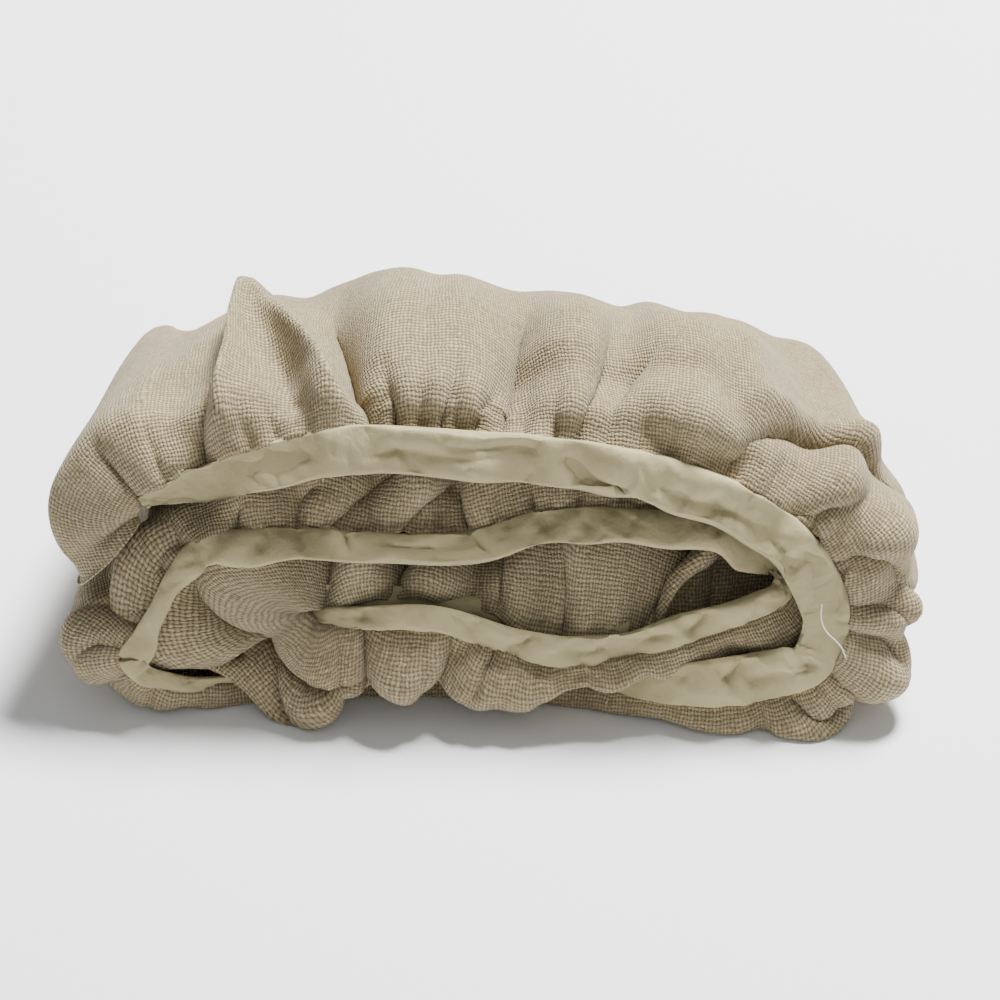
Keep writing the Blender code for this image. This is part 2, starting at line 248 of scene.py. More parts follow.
# %% [markdown]
# ## The loose thread
#
# Where the band bends round at the right, the end of a sewing thread has come loose. It
# is a thin round tube on a smooth curve, which a curve object with a round bevel gives.
# Each point carries its own radius, in metres, so the bevel itself is one unit deep.

# %% Lay the loose thread on the band
ThreadPoint = namedtuple("ThreadPoint", "across up")
THREAD_ROUTE = [
    ThreadPoint(182, 64),
    ThreadPoint(182, 55),
    ThreadPoint(185, 48),
    ThreadPoint(190, 43),
    ThreadPoint(194, 38),
    ThreadPoint(196, 33),
]
THREAD_RADIUS = 0.35 * MM
THREAD_FRONT = 6.8 * MM          # how far in front of the face it lies, on the band
THREAD_POINTS = 16


def thread_line():
    """Evenly spaced points on the thread's smooth route."""
    across, up = column(THREAD_ROUTE, "across"), column(THREAD_ROUTE, "up")
    knots = np.concatenate([[0], np.cumsum(np.hypot(np.diff(across), np.diff(up)))])
    places = np.linspace(0, knots[-1], THREAD_POINTS)
    smooth = [through(knots, line, places, np.gradient(line, knots)) for line in (across, up)]
    return on_face(*smooth, np.full(THREAD_POINTS, -THREAD_FRONT))


thread_points = thread_line()
thread_curve = bpy.data.curves.new("loose_thread_end", "CURVE")
thread_curve.dimensions = "3D"
thread_curve.bevel_depth = 1.0
thread_curve.bevel_resolution = 3
thread_curve.use_fill_caps = True
spline = thread_curve.splines.new("POLY")
spline.points.add(THREAD_POINTS - 1)
for point, place in zip(spline.points, thread_points):
    point.co = (*place, 1.0)
    point.radius = THREAD_RADIUS
thread_end = bpy.data.objects.new("loose_thread_end", thread_curve)
bpy.context.collection.objects.link(thread_end)
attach(thread_end, "root")
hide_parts("loose_thread")

# %% [markdown]
# ## The gathered cloth: its section
#
# Cut across the strip at any place, and the doubled cloth shows the same course: it
# flares out from the seam in a first lobe, draws in at the neck, crowns, and runs back to
# the fold at the rear, where it turns and comes forward again inside. Only the sizes
# change on the way round, so a table of sizes along the seam describes all of it.

# %% The section's sizes along the seam, in millimetres
# How far out the cloth stands at its first lobe (flare), its neck, its crown and its
# back; how far behind the seam the lobe starts (front, and less than 0 is before it); the
# gap between the two leaves; and how far the cloth droops over the band and stands proud
# of it at the stitches (droop and lip).
Drape = namedtuple("Drape", "along flare front neck crown back gap droop lip")
DRAPES = [
    Drape(0, 53, -5, 50, 37, 12, 20, -3, 3),
    Drape(20, 40, -1, 39, 27, -2, 18, -2, 3),
    Drape(40, 33, 1, 31, 20, -15, 16, -2, 3),
    Drape(90, 20, 2, 21, 18, -18, 12, -1, 3),
    Drape(150, 13, 3, 13, 17, -24, 14, -1, 3),
    Drape(270, 13, 3, 13, 16, -27, 14, -1, 3),
    Drape(340, 18, 2, 20, 21, -20, 14, -1, 3),
    Drape(395, 27, 0, 30, 26, -3, 12, -1, 4),
    Drape(460, 37, 0, 36, 30, 12, 10, 0, 4),
    Drape(512, 35, -6, 28, 23, 16, 10, -2, 4),
    Drape(560, 20, -4, 16, 15, 15, 10, -2, 2),
    Drape(650, 17, -2, 17, 18, 18, 10, -2, 2),
    Drape(870, 18, 0, 18, 19, 19, 10, -2, 2),
    Drape(915, 30, 2, 26, 22, 14, 10, -1, 4),
    Drape(938, 20, 3, 17, 15, 9, 10, -1, 4),
    Drape(1000, 15, 2, 13, 13, -2, 12, 0, 5),
    Drape(1060, 32, 1, 30, 30, 2, 18, -2, 0),
    Drape(1150, 34, 1, 31, 31, 0, 22, -2, 0),
    Drape(1250, 22, 3, 22, 26, -11, 20, -2, 0),
    Drape(1300, 16, 4, 15, 18, -4, 14, -4, -1),
    Drape(1345, 22, 2, 22, 28, 6, 10, -5, -2),
    Drape(1366, 30, -4, 28, 28, 16, 10, -3, 1),
    Drape(1388, 27, -2, 22, 24, 26, 10, -1, 4),
    Drape(1425, 22, -4, 18, 20, 25, 10, -1, 5),
    Drape(1455, 14, -6, 12, 16, 20, 10, -1, 5),
    Drape(1480, 15, -8, 12, 16, 20, 10, -1, 5),
    Drape(1520, 33, -12, 12, 15, 22, 10, -2, 5),
    Drape(1570, 42, -12, 15, 17, 24, 10, -2, 6),
    Drape(1592, 45, -14, 16, 19, 26, 10, -2, 6),
    Drape(1608, 46, -16, 22, 24, 30, 10, 0, 8),
    Drape(1620, 47, -18, 28, 32, 38, 10, 1, 10),
    Drape(1626, 58, -17, 36, 38, 40, 12, 1, 10),
    Drape(1631, 73, -14, 46, 44, 42, 12, 1, 10),
    Drape(1637, 66, -12, 56, 50, 42, 14, 1, 9),
    Drape(1641, 68, -10, 62, 56, 42, 14, 1, 9),
    Drape(1642.4, 88, -10, 72, 60, 42, 14, 2, 8),
    Drape(1644, 106, -9, 86, 62, 42, 14, 2, 8),
    Drape(1646, 100, -6, 84, 62, 42, 14, 2, 8),
    Drape(1648.4, 72, -9, 56, 52, 40, 14, 2, 9),
    Drape(1650, 56, -9, 42, 46, 38, 14, 3, 10),
    Drape(1652.5, 48, -9, 34, 40, 32, 12, 4, 10),
    Drape(1656, 34, -7, 22, 30, 22, 10, 7, 10),
    Drape(1662, 20, -5, 18, 24, 10, 10, 9, 10),
    Drape(1674, 18, -6, 18, 20, 3, 10, 8, 9),
    Drape(1714, 19, -6, 19, 25, 8, 11, 3, 6),
    Drape(1758, 24, -5, 25, 34, 15, 12, 4, 7),
    Drape(1778, 40, -4, 40, 40, 16, 14, 13, 12),
    Drape(1800, 46, -3, 42, 42, 18, 14, 13, 12),
    Drape(1850, 46, -2, 44, 50, 34, 14, 13, 12),
    Drape(1862, 56, 2, 52, 52, 38, 14, 0, 4),
    Drape(1910, 60, 6, 56, 54, 40, 14, 0, 4),
]
print(f"the section's sizes are given at {len(DRAPES)} places along the seam")

# %% [markdown]
# ### The course of the section
#
# The sizes say how far the cloth stands out from the seam. How far it lies behind the
# seam hardly changes, so that is a table of its own, with a row for each stop on the way.
# Some stops share in the folds' height less than others, and the inner leaf lies under
# the outer one and takes its folds from there.

# %% Follow the section
BAND_THICKNESS = 3.0 * MM
SEAM_TUCK = 2.0 * MM             # the cloth's edge is tucked in behind the band by this
BACK_RISE = 2.0 * MM             # how far the outer leaf lifts just before the back fold
BACK_GAP = 14.0 * MM             # room inside the back fold
LOBE_SHARE = 0.55                # of the flare, reached at the first lobe
FRONT_SHARE = 0.5                # of the lobe's forward bulge, left at the full flare
MIDDLE_SHARE = 0.45              # of the way from the crown's height to the back's
HEM_GAPS = 1.3                   # gaps between the leaves at the inner hem

# How far behind the seam, distance from it for the folds, share of the folds' height,
# and the stop of the outer leaf that it is, or lies under.
Stop = namedtuple("Stop", "name behind distance share under")
STOPS = [
    Stop("stitches", 1.5, 0, 0.0, 0),
    Stop("droop", 0, 5, 0.4, 1),
    Stop("first lobe", 0, 12, 0.8, 2),
    Stop("flare", 11, 26, 1.0, 3),
    Stop("neck", 31, 42, 1.0, 4),
    Stop("crown", 78, 86, 1.0, 5),
    Stop("middle", 132, 142, 0.9, 6),
    Stop("back edge", 170, 182, 0.7, 7),
    Stop("back fold", 181, 190, 0.7, 7),
    Stop("inner back", 168, 182, 0.7, 7),
    Stop("inner middle", 128, 142, 0.9, 6),
    Stop("inner crown", 80, 86, 1.0, 5),
    Stop("inner hem", 56, 64, 1.0, 5),
]


def section(along):
    """How far out from the seam and behind it the cloth lies, at every stop."""
    flare, front, neck, crown, back, gap, droop, lip = (
        read(DRAPES, name, along) for name in Drape._fields[1:]
    )
    middle = crown + MIDDLE_SHARE * (back - crown)
    outward = np.stack([
        np.full_like(along, -SEAM_TUCK), -droop, LOBE_SHARE * flare, flare, neck, crown,
        middle, back + BACK_RISE, back - BACK_GAP / 2, back - BACK_GAP,
        middle - gap, crown - gap, (neck + crown) / 2 - HEM_GAPS * gap,
    ])
    behind = np.repeat(column(STOPS, "behind")[:, None], len(along), axis=1)
    behind[1:4] += np.stack([-lip, front, FRONT_SHARE * front])
    return outward, behind


print("the cloth goes by way of:", ", ".join(stop.name for stop in STOPS))

# %% [markdown]
# ## The gathered cloth: its broad folds
#
# A gather starts as a sharp pleat at the stitches and opens into a soft puff. The puffs
# and the valleys between them are broad folds. Each is a smooth bump that widens and
# drifts sideways as it runs back over the bundle. Those that catch the eye are in a
# table, and lesser ones are spread over the rest by chance, from a fixed seed.

# %% Broad folds, in millimetres
FOLD_DEPTH = 190 * MM            # from here on a fold has its full drift and back width
FOLD_RISE = (-2, 14)             # it rises between these distances from its start
FOLD_FADE = 50                   # and fades over this length before its end
LESSER_SEED = 5
LESSER_START, LESSER_END, LESSER_SPACING = 12, 1850, 22

# Along the seam, half width at the seam and at the back, height (negative is a valley),
# where it starts and ends behind the seam, and its drift along the seam on the way.
Fold = namedtuple("Fold", "along half half_back height start end drift")
FOLDS = [
    Fold(40, 14, 18, 5, 2, 120, -14),
    Fold(54, 9, 12, -6, 0, 170, 30),
    Fold(90, 17, 10, 11, 4, 165, 0),
    Fold(124, 9, 10, -6, 10, 150, -50),
    Fold(140, 9, 12, 9, 4, 170, -66),
    Fold(156, 10, 16, -10, 10, 190, -30),
    Fold(194, 28, 46, 14, 4, 220, -14),
    Fold(240, 9, 16, -8, 0, 110, 6),
    Fold(264, 14, 24, 9, 4, 130, 8),
    Fold(244, 16, 26, 9, 50, 220, 4),
    Fold(296, 9, 14, 5, 2, 90, 24),
    Fold(328, 22, 34, 15, 8, 130, 34),
    Fold(300, 34, 60, 6, 50, 220, 40),
    Fold(352, 9, 10, -5, 0, 60, 40),
    Fold(376, 15, 22, -2, 2, 130, 34),
    Fold(390, 8, 10, -4, 0, 100, 30),
    Fold(406, 10, 16, 6, 2, 110, 26),
    Fold(421, 8, 9, -5, 0, 80, 20),
    Fold(437, 9, 13, 9, 2, 110, 30),
    Fold(452, 7, 9, -5, 0, 70, 26),
    Fold(466, 9, 12, 8, 2, 110, 14),
    Fold(480, 7, 9, -4, 0, 70, 0),
    Fold(492, 9, 14, 7, 2, 110, 4),
    Fold(510, 7, 9, -3, 0, 80, 0),
    Fold(528, 12, 16, 8, 2, 120, -10),
    Fold(878, 10, 14, 8, 2, 90, 10),
    Fold(895, 8, 9, -4, 0, 60, 8),
    Fold(911, 9, 12, 10, 2, 90, 4),
    Fold(927, 8, 9, -4, 0, 60, 0),
    Fold(942, 9, 12, 9, 2, 80, -6),
    Fold(958, 8, 9, -7, 0, 60, -8),
    Fold(1020, 10, 14, 7, 2, 80, 0),
    Fold(1042, 8, 10, -8, 0, 60, 0),
    Fold(1062, 10, 14, 7, 2, 80, 12),
    Fold(1088, 8, 10, -7, 0, 60, 16),
    Fold(1112, 12, 14, 6, 2, 80, 20),
    Fold(1138, 8, 10, -8, 0, 60, 10),
    Fold(1158, 9, 12, 6, 2, 80, 0),
    Fold(1176, 8, 10, -6, 0, 60, 0),
    Fold(1532, 9, 12, 8, 2, 60, 0),
    Fold(1550, 8, 10, -6, 0, 60, 0),
    Fold(1580, 16, 18, 6, 2, 60, 0),
    Fold(1603, 6, 8, -8, 0, 60, 0),
    Fold(1622, 11, 13, 7, 2, 60, -4),
    Fold(1636, 6, 8, -5, 0, 60, 0),
    Fold(1648, 9, 12, 4, 2, 60, 0),
    Fold(1664, 8, 10, -8, 0, 60, 0),
    Fold(1682, 10, 12, 8, 2, 60, 0),
    Fold(1702, 8, 10, -8, 0, 60, 4),
    Fold(1724, 12, 14, 8, 2, 60, 0),
    Fold(1746, 8, 10, -8, 0, 60, 0),
    Fold(1764, 9, 12, 7, 2, 60, 0),
    Fold(1782, 8, 10, -8, 0, 60, 0),
    Fold(1806, 16, 18, 8, 2, 60, 6),
    Fold(1832, 8, 10, -8, 0, 60, 8),
]


def lesser_folds():
    """Small folds all along the cloth, spaced and sized by chance from a fixed seed."""
    chance = random.Random(LESSER_SEED)
    rows = []
    for place in range(LESSER_START, LESSER_END, LESSER_SPACING):
        rows.append(Fold(
            along=place + chance.uniform(-5, 5), half=8, half_back=chance.uniform(10, 15),
            height=chance.choice([-1, 1]) * chance.uniform(2, 5), start=4, end=240,
            drift=chance.uniform(-14, 14),
        ))
    return rows


def fold_height(along, distance):
    """Height of the broad folds at places along the seam and distances behind it."""
    height = np.zeros(np.broadcast(along, distance).shape)
    far = np.clip(distance / FOLD_DEPTH, 0, 1)
    for fold in FOLDS + lesser_folds():
        half = (fold.half + (fold.half_back - fold.half) * far) * MM
        aside = (along - (fold.along + fold.drift * far) * MM) / half
        risen = ease(distance, *((fold.start + room) * MM for room in FOLD_RISE))
        faded = ease(distance, (fold.end - FOLD_FADE) * MM, fold.end * MM)
        height += fold.height * MM * np.exp(-aside * aside) * risen * (1 - faded)
    return height


print(f"{len(FOLDS)} broad folds and {len(lesser_folds())} lesser ones")

# %% [markdown]
# ## The gathered cloth: its creases
#
# Between the puffs the cloth is creased. A crease is a bump with a sharp bottom, and where
# one fold lies over the next, the cloth on one side laps over the line. The creases that
# give the bundle its look are in a table, each with its path over the cloth.

# %% Creases, in millimetres
# Sharp valleys on a path of (along the seam, distance behind it). Half width, depth (a
# negative one is a sharp ridge), and how far the cloth on the path's left laps over the
# line. A negative lap is for the cloth on its right.
Crease = namedtuple("Crease", "where half depth lap path")
CREASES = [
    Crease("shoulder", 6, 8, 0, [(8, 0), (4, 50)]),
    Crease("shoulder", 6, 9, 2, [(24, 0), (22, 40)]),
    Crease("shoulder", 5, 6, 0, [(42, 0), (44, 44)]),
    Crease("fin valley", 6.5, 24, -2, [(61, 0), (68, 10), (75, 24), (79, 52), (80, 86), (77, 128)]),
    Crease("fin lobe", 4, 6, 0, [(92, 0), (94, 34)]),
    Crease("fin lobe", 4, 7, 0, [(107, 0), (105, 34)]),
    Crease("fin left edge", 8, -16, 0, [(80, 10), (86, 24), (91, 52), (91, 86), (89, 128), (89, 140)]),
    Crease("fin hollow", 8, 3, 0, [(124, 0), (119, 35), (110, 62), (102, 90)]),
    Crease("fin right edge", 8, -15, 0, [(146, 8), (136, 30), (124, 60), (107, 95), (94, 134)]),
    Crease("dome left", 9, 24, 3, [(156, 0), (153, 21), (149, 40), (143, 64), (132, 110), (124, 150)]),
    Crease("dome", 3.5, 9, 0, [(164, 0), (167, 44)]),
    Crease("dome", 4.5, 16, 2, [(175, 0), (172, 22), (163, 50)]),
    Crease("dome", 3.5, 9, 0, [(185, 0), (186, 44)]),
    Crease("dome", 4.5, 16, -2, [(195, 0), (199, 22), (206, 52)]),
    Crease("dome", 3.5, 9, 0, [(204, 0), (208, 44)]),
    Crease("dome", 4.5, 16, -2, [(213, 0), (218, 21), (229, 56)]),
    Crease("dome", 3.5, 9, 0, [(222, 0), (227, 42)]),
    Crease("dome right", 8, 20, -3, [(232, 0), (234, 28), (238, 60), (245, 100), (250, 120)]),
    Crease("broad fold", 3.5, 9, 0, [(245, 0), (249, 44)]),
    Crease("broad fold", 4, 11, 1, [(258, 0), (261, 54)]),
    Crease("broad fold", 5.5, 15, -3, [(271, 0), (273, 16), (280, 42), (288, 80), (294, 110)]),
    Crease("tuck", 5.5, 20, -8, [(290, 0), (294, 21), (302, 41), (311, 60), (322, 74)]),
    Crease("right shoulder", 3, 7, 0, [(304, 0), (309, 36)]),
    Crease("right shoulder", 3.5, 7, 0, [(319, 0), (325, 40)]),
    Crease("right shoulder", 3, 6, 0, [(333, 0), (337, 30)]),
    Crease("overhang", 7, 26, 13, [(347, 0), (348, 16), (356, 30), (370, 38), (386, 45), (404, 52),
                                  (426, 60), (450, 68), (470, 74)]),
    Crease("overhang lip", 9, -13, 0, [(350, 38), (364, 48), (380, 55), (402, 63), (430, 74)]),
    Crease("lower puff", 3, 6, 0, [(361, 0), (365, 24)]),
    Crease("lower puff", 3, 6, 0, [(376, 0), (381, 28)]),
    Crease("right turn", 5, 8, -2, [(392, 0), (398, 5), (410, 13), (422, 30), (426, 52)]),
    Crease("right turn", 3, 6, 0, [(408, 0), (415, 20)]),
    Crease("right turn", 6, 19, 5, [(423, 0), (430, 7), (442, 17), (460, 31), (474, 54), (482, 84)]),
    Crease("right turn", 3, 7, 0, [(438, 0), (447, 18)]),
    Crease("right tube", 6, 20, 5, [(452, 0), (458, 7), (468, 20), (478, 34), (488, 60), (492, 84)]),
    Crease("right nub", 5, 16, -4, [(474, 0), (478, 12), (486, 20), (494, 34)]),
    Crease("right fan", 6, 18, 4, [(497, 0), (500, 12), (505, 24), (510, 50), (512, 80)]),
    Crease("right pocket", 5, 12, 4, [(534, 2), (522, 11), (510, 17), (498, 26)]),
    Crease("right foot", 3.5, 7, 0, [(548, 0), (546, 24)]),
    Crease("left turn", 3.5, 7, 0, [(884, 0), (882, 26), (880, 50)]),
    Crease("left turn", 4.5, 9, 1, [(902, 0), (899, 24), (896, 50)]),
    Crease("left turn", 4.5, 10, 3, [(919, 0), (914, 14), (907, 34), (902, 60)]),
    Crease("left turn", 5, 14, 4, [(940, 0), (930, 12), (920, 30), (914, 56)]),
    Crease("left turn", 5, 14, -4, [(958, 0), (948, 8), (937, 22), (930, 44)]),
    Crease("left turn", 6, 20, 5, [(994, 2), (980, 12), (964, 22), (948, 32), (936, 48)]),
    Crease("left turn", 3, 6, 0, [(974, 0), (968, 14)]),
    Crease("second top", 3.5, 11, 3, [(1014, 0), (1018, 12), (1026, 24)]),
    Crease("second top", 5, 18, 4, [(1048, 0), (1048, 8), (1055, 15), (1070, 20)]),
    Crease("second top", 4.5, 17, 5, [(1058, 0), (1073, 9), (1100, 22), (1124, 36)]),
    Crease("second top", 4.5, 16, 4, [(1098, 1), (1115, 10), (1132, 17), (1152, 28)]),
    Crease("second top", 3, 7, 0, [(1122, 0), (1130, 14)]),
    Crease("second top", 3.5, 11, -2, [(1146, 0), (1145, 8), (1149, 24)]),
    Crease("second top", 3, 7, 0, [(1162, 0), (1168, 18)]),
    Crease("second top", 3.5, 9, 0, [(1182, 0), (1187, 24)]),
    Crease("second top", 3.5, 8, 0, [(1206, 0), (1212, 24)]),
    Crease("second top", 3, 7, 0, [(1228, 0), (1232, 20)]),
    Crease("second bottom", 3, 6, 1, [(1470, 1), (1450, 6), (1430, 8)]),
    Crease("second bottom", 3, 6, 1, [(1500, 1), (1484, 6), (1466, 8)]),
    Crease("second bottom", 3, 6, 1, [(1522, 1), (1507, 6), (1494, 9)]),
    Crease("second bottom", 5, 12, 3, [(1527, 0), (1530, 10), (1534, 30)]),
    Crease("second bottom", 3, 7, 0, [(1544, 0), (1545, 16)]),
    Crease("second bottom", 5, 13, -3, [(1559, 0), (1557, 14), (1555, 40)]),
    Crease("panel", 3, 3, 0, [(1580, 0), (1582, 14)]),
    Crease("dark valley", 6, 20, 3, [(1602, 0), (1603, 10), (1601, 24), (1598, 44)]),
    Crease("front lobe", 3, 6, 0, [(1620, 0), (1622, 10)]),
    Crease("lobe over flap", 6, 24, 7, [(1642.5, 9), (1638, 10), (1632, 10), (1626, 11.5), (1618, 15),
                                        (1607, 16)]),
    Crease("flap slit", 5, 18, 6, [(1643, 10.5), (1640, 11.5), (1635, 13.5), (1632.5, 17), (1630.5, 21),
                                   (1629.5, 26)]),
    Crease("flap and nested fold", 5.5, 24, 5, [(1642.2, 34), (1642.2, 27), (1641.6, 20), (1641, 14),
                                                (1641, 8)]),
    Crease("nested fold and lobe", 6, 26, 6, [(1649.2, 27), (1648.2, 20), (1646.8, 15), (1645.4, 11.5),
                                              (1644, 9), (1642, 8)]),
    Crease("core lobe", 5.5, 18, 3, [(1664, 0), (1666, 12), (1670, 26), (1674, 50)]),
    Crease("core", 3, 6, 0, [(1684, 0), (1684, 16)]),
    Crease("core", 5, 18, 3, [(1700, 0), (1702, 8), (1708, 22), (1712, 40)]),
    Crease("core hollow", 4, 14, 4, [(1722, 4), (1729, 8), (1740, 8), (1750, 5)]),
    Crease("core", 5, 12, -3, [(1762, 5), (1761, 16), (1759, 34)]),
    Crease("core pleat", 5.5, 16, 4, [(1797, 0), (1796, 8), (1791, 18), (1788, 40)]),
    Crease("core panel", 3.5, 5, 0, [(1816, 0), (1818, 20)]),
    Crease("core panel", 5.5, 14, -4, [(1841, 0), (1844, 14), (1846, 44)]),
    Crease("core panel", 5, 13, 4, [(1862, 0), (1860, 22), (1858, 44)]),
    Crease("core end", 4.5, 8, 0, [(1884, 0), (1886, 44)]),
]
print(f"{len(CREASES)} creases, the deepest {max(crease.depth for crease in CREASES)} mm")

# %% [markdown]
# ### Small gathers
#
# The stitches themselves draw up little sharp pleats all along the seam, too many and too
# much alike for a table. They are placed by chance, apart from two stretches where longer
# creases already crowd the cloth.

# %% Small gathers by chance
GATHER_SEED = 21
GATHER_START, GATHER_ROOM = 66.0, 6
GATHER_SPACING = (6.0, 13.0)
NO_GATHERS = [(1296, 1400), (1625, 1800)]
NO_GATHERS_STEP = 3              # such a stretch is passed over in steps of this


def small_gathers():
    """Sharp little creases that start at the stitches, spaced by chance."""
    chance = random.Random(GATHER_SEED)
    rows, place = [], GATHER_START
    while place < SEAM_LENGTH / MM - GATHER_ROOM:
        if any(low < place < high for low, high in NO_GATHERS):
            place += NO_GATHERS_STEP
            continue
        end = chance.uniform(12, 40)
        rows.append(Crease(
            "gather", half=chance.uniform(1.8, 3.2), depth=chance.uniform(2.0, 5.0), lap=0,
            path=[(place, 0), (place + chance.uniform(-6, 6), end)],
        ))
        place += chance.uniform(*GATHER_SPACING)
    return rows


print(f"{len(small_gathers())} small gathers")

# %% [markdown]
# ### Pressing creases in
#
# The sheet is a grid of points, fine in some places and coarse in others. So a crease's
# path is laid on the sheet and spaced evenly there, and each point near it moves by its
# true distance from the path: down along the sheet's normal, and a little towards the
# crease, as cloth does when it is drawn together.

# %% Lay a crease's path on a sheet
CREASE_REACH = 45 * MM           # no crease is felt further away than this
CREASE_POINT = 1.2 * MM          # distance between the points read on a crease's path
PATH_READINGS = 160              # places read on a path before they are spaced evenly
FEWEST_POINTS = 8

# A sheet to press: its points, their normals, the unit steps along its rows and down its
# columns, the place of each column and the distance of each row, and how fully a crease
# takes hold, point by point.
Sheet = namedtuple("Sheet", "points normal run fall along distance grip")


def unit(vectors):
    """Vectors of length one."""
    return vectors / np.maximum(np.linalg.norm(vectors, axis=-1, keepdims=True), 1e-9)


def read_grid(grid, across, down):
    """A grid's values at fractional places across its columns and down its rows."""
    i, j = np.floor(down).astype(int), np.floor(across).astype(int)
    i, j = np.clip(i, 0, grid.shape[0] - 2), np.clip(j, 0, grid.shape[1] - 2)
    a, b = (down - i)[:, None], (across - j)[:, None]
    return ((1 - a) * ((1 - b) * grid[i, j] + b * grid[i, j + 1])
            + a * ((1 - b) * grid[i + 1, j] + b * grid[i + 1, j + 1]))


def lay_path(crease, sheet):
    """A crease's evenly spaced places on the grid, and the columns that it may reach."""
    path = np.array(crease.path, float) * MM
    knots = np.concatenate([[0], np.cumsum(np.hypot(*np.diff(path, axis=0).T))])
    fine = np.linspace(0, knots[-1], PATH_READINGS)
    along, distance = (through(knots, one, fine, np.gradient(one, knots)) for one in path.T)
    across = np.interp(along, sheet.along, np.arange(len(sheet.along)))
    down = np.interp(distance, sheet.distance, np.arange(len(sheet.distance)))
    steps = np.linalg.norm(np.diff(read_grid(sheet.points, across, down), axis=0), axis=1)
    reached = np.concatenate([[0], np.cumsum(steps)])
    even = np.linspace(0, reached[-1], max(FEWEST_POINTS, int(reached[-1] / CREASE_POINT)))
    across, down = (np.interp(even, reached, one) for one in (across, down))
    ends = np.searchsorted(sheet.along, [along.min() - CREASE_REACH, along.max() + CREASE_REACH])
    return across, down, slice(*ends)


print(f"paths are read every {CREASE_POINT / MM:.1f} mm")

# %% Press creases into a sheet
AT_STITCHES = 1.5                # a path that starts nearer than this starts at the stitches
FADE = (0.4, 1.02)               # shares of its path between which a crease fades out
SLOW_FADE = (0.8, 1.02)          # the same for a ridge, or one away from the stitches
FADE_IN = (-0.05, 0.25)          # shares between which one away from the stitches fades in
REACH_FADE = 0.6                 # share of its reach from which it is felt less
START_WIDTH, WIDTH_GAIN = 0.75, 0.6     # of its half width, where it starts and on its way
DRAWN_IN = 0.5                   # of its depth, by which the cloth beside it is drawn in
LAP_WIDTH, LAP_RISE = 2.4, 0.5   # the lapping cloth's width and rise


def crease_fade(crease, share, away):
    """How strongly a crease presses at a share of its path and a distance from it."""
    inside = crease.path[0][1] > AT_STITCHES
    fade = 1 - ease(share, *(SLOW_FADE if inside or crease.depth < 0 else FADE))
    if inside:
        fade = fade * ease(share, *FADE_IN)
    return fade * (1 - ease(away, REACH_FADE * CREASE_REACH, CREASE_REACH))


def press(crease, sheet):
    """The columns of points that one crease moves, and how it moves them."""
    across, down, columns = lay_path(crease, sheet)
    spots = read_grid(sheet.points, across, down)
    ahead = np.gradient(np.stack([across, down]), axis=1)
    left = unit(ahead[:1].T * read_grid(sheet.fall, across, down)
                - ahead[1:].T * read_grid(sheet.run, across, down))
    aside = unit(np.cross(read_grid(sheet.normal, across, down), np.gradient(spots, axis=0)))
    aside *= np.sign((aside * left).sum(axis=-1, keepdims=True))
    part = sheet.points[:, columns]
    gaps = np.linalg.norm(part[:, :, None] - spots, axis=-1)
    near = gaps.argmin(axis=2)
    away = np.take_along_axis(gaps, near[..., None], axis=2)[..., 0]
    side = np.sign(((part - spots[near]) * aside[near]).sum(axis=-1))
    share = near / (len(spots) - 1)
    fade = crease_fade(crease, share, away) * sheet.grip[:, columns]
    half = crease.half * MM * (START_WIDTH + WIDTH_GAIN * share)
    depth, lap = crease.depth * MM, crease.lap * MM
    pressed = np.exp(-away / half) * fade
    over = np.exp(-away / (LAP_WIDTH * half)) * fade * (side * lap > 0)
    rise = LAP_RISE * abs(lap) * over - depth * pressed
    pull = -side * (abs(lap) * over + DRAWN_IN * abs(depth) * (away / half) * pressed)
    return columns, rise[..., None] * sheet.normal[:, columns] + pull[..., None] * aside[near]


def press_creases(points, normal, along, distance, creases, grip):
    """How every point of a sheet moves for the creases pressed in."""
    run, fall = unit(np.gradient(points, axis=1)), unit(np.gradient(points, axis=0))
    sheet = Sheet(points, normal, run, fall, along, distance, grip)
    moved = np.zeros_like(points)
    for crease in creases:
        columns, shift = press(crease, sheet)
        moved[:, columns] += shift
    return moved


print(f"a crease is felt up to {CREASE_REACH / MM:.0f} mm away")

# %% [markdown]
# ## The gathered cloth: its mesh
#
# The sheet is a grid: one row of points for every step down the drop, one column for
# every few millimetres of seam. It could be cut and pushed by hand from a plane, but a
# wound strip twists too much for that. The grid is finest in front, where the gathers
# show, and coarser behind and below.

# %% Space the grid's rows and columns
COLUMN_TURN = math.radians(7.0)  # the seam turns no further than this from column to column

# Distance between neighbouring columns at places along the seam.
Step = namedtuple("Step", "along length")
STEPS = [Step(0, 2.3), Step(545, 2.3), Step(600, 14), Step(820, 14), Step(865, 2.9),
         Step(1240, 2.9), Step(1300, 5), Step(1400, 4), Step(1440, 2.7), Step(1910, 2.7)]

# How many rows of the grid lie between two of the section's stops.
RowRun = namedtuple("RowRun", "first last count")
ROW_RUNS = [RowRun(0, 1, 3), RowRun(1, 2, 9), RowRun(2, 4, 14), RowRun(4, 5, 13),
            RowRun(5, 6, 7), RowRun(6, 7, 4), RowRun(7, 9, 4), RowRun(9, 12, 7)]


def grid_columns():
    """Places along the seam for the grid's columns."""
    along = np.arange(0.0, SEAM_LENGTH, 1 * MM)
    step = np.interp(along, column(STEPS, "along"), column(STEPS, "length"))
    _, (out_x, out_y) = seam(along)
    turned = np.abs(np.gradient(np.unwrap(np.arctan2(out_y, out_x))))
    density = 1 * MM / step + turned / COLUMN_TURN
    count = np.concatenate([[0], np.cumsum(density)[:-1]])
    return np.interp(np.linspace(0, count[-1], int(round(count[-1]))), count, along)


def grid_rows():
    """Places between the section's stops for the grid's rows."""
    parts = [np.linspace(*run, endpoint=False) for run in ROW_RUNS]
    return np.append(np.concatenate(parts), ROW_RUNS[-1].last)


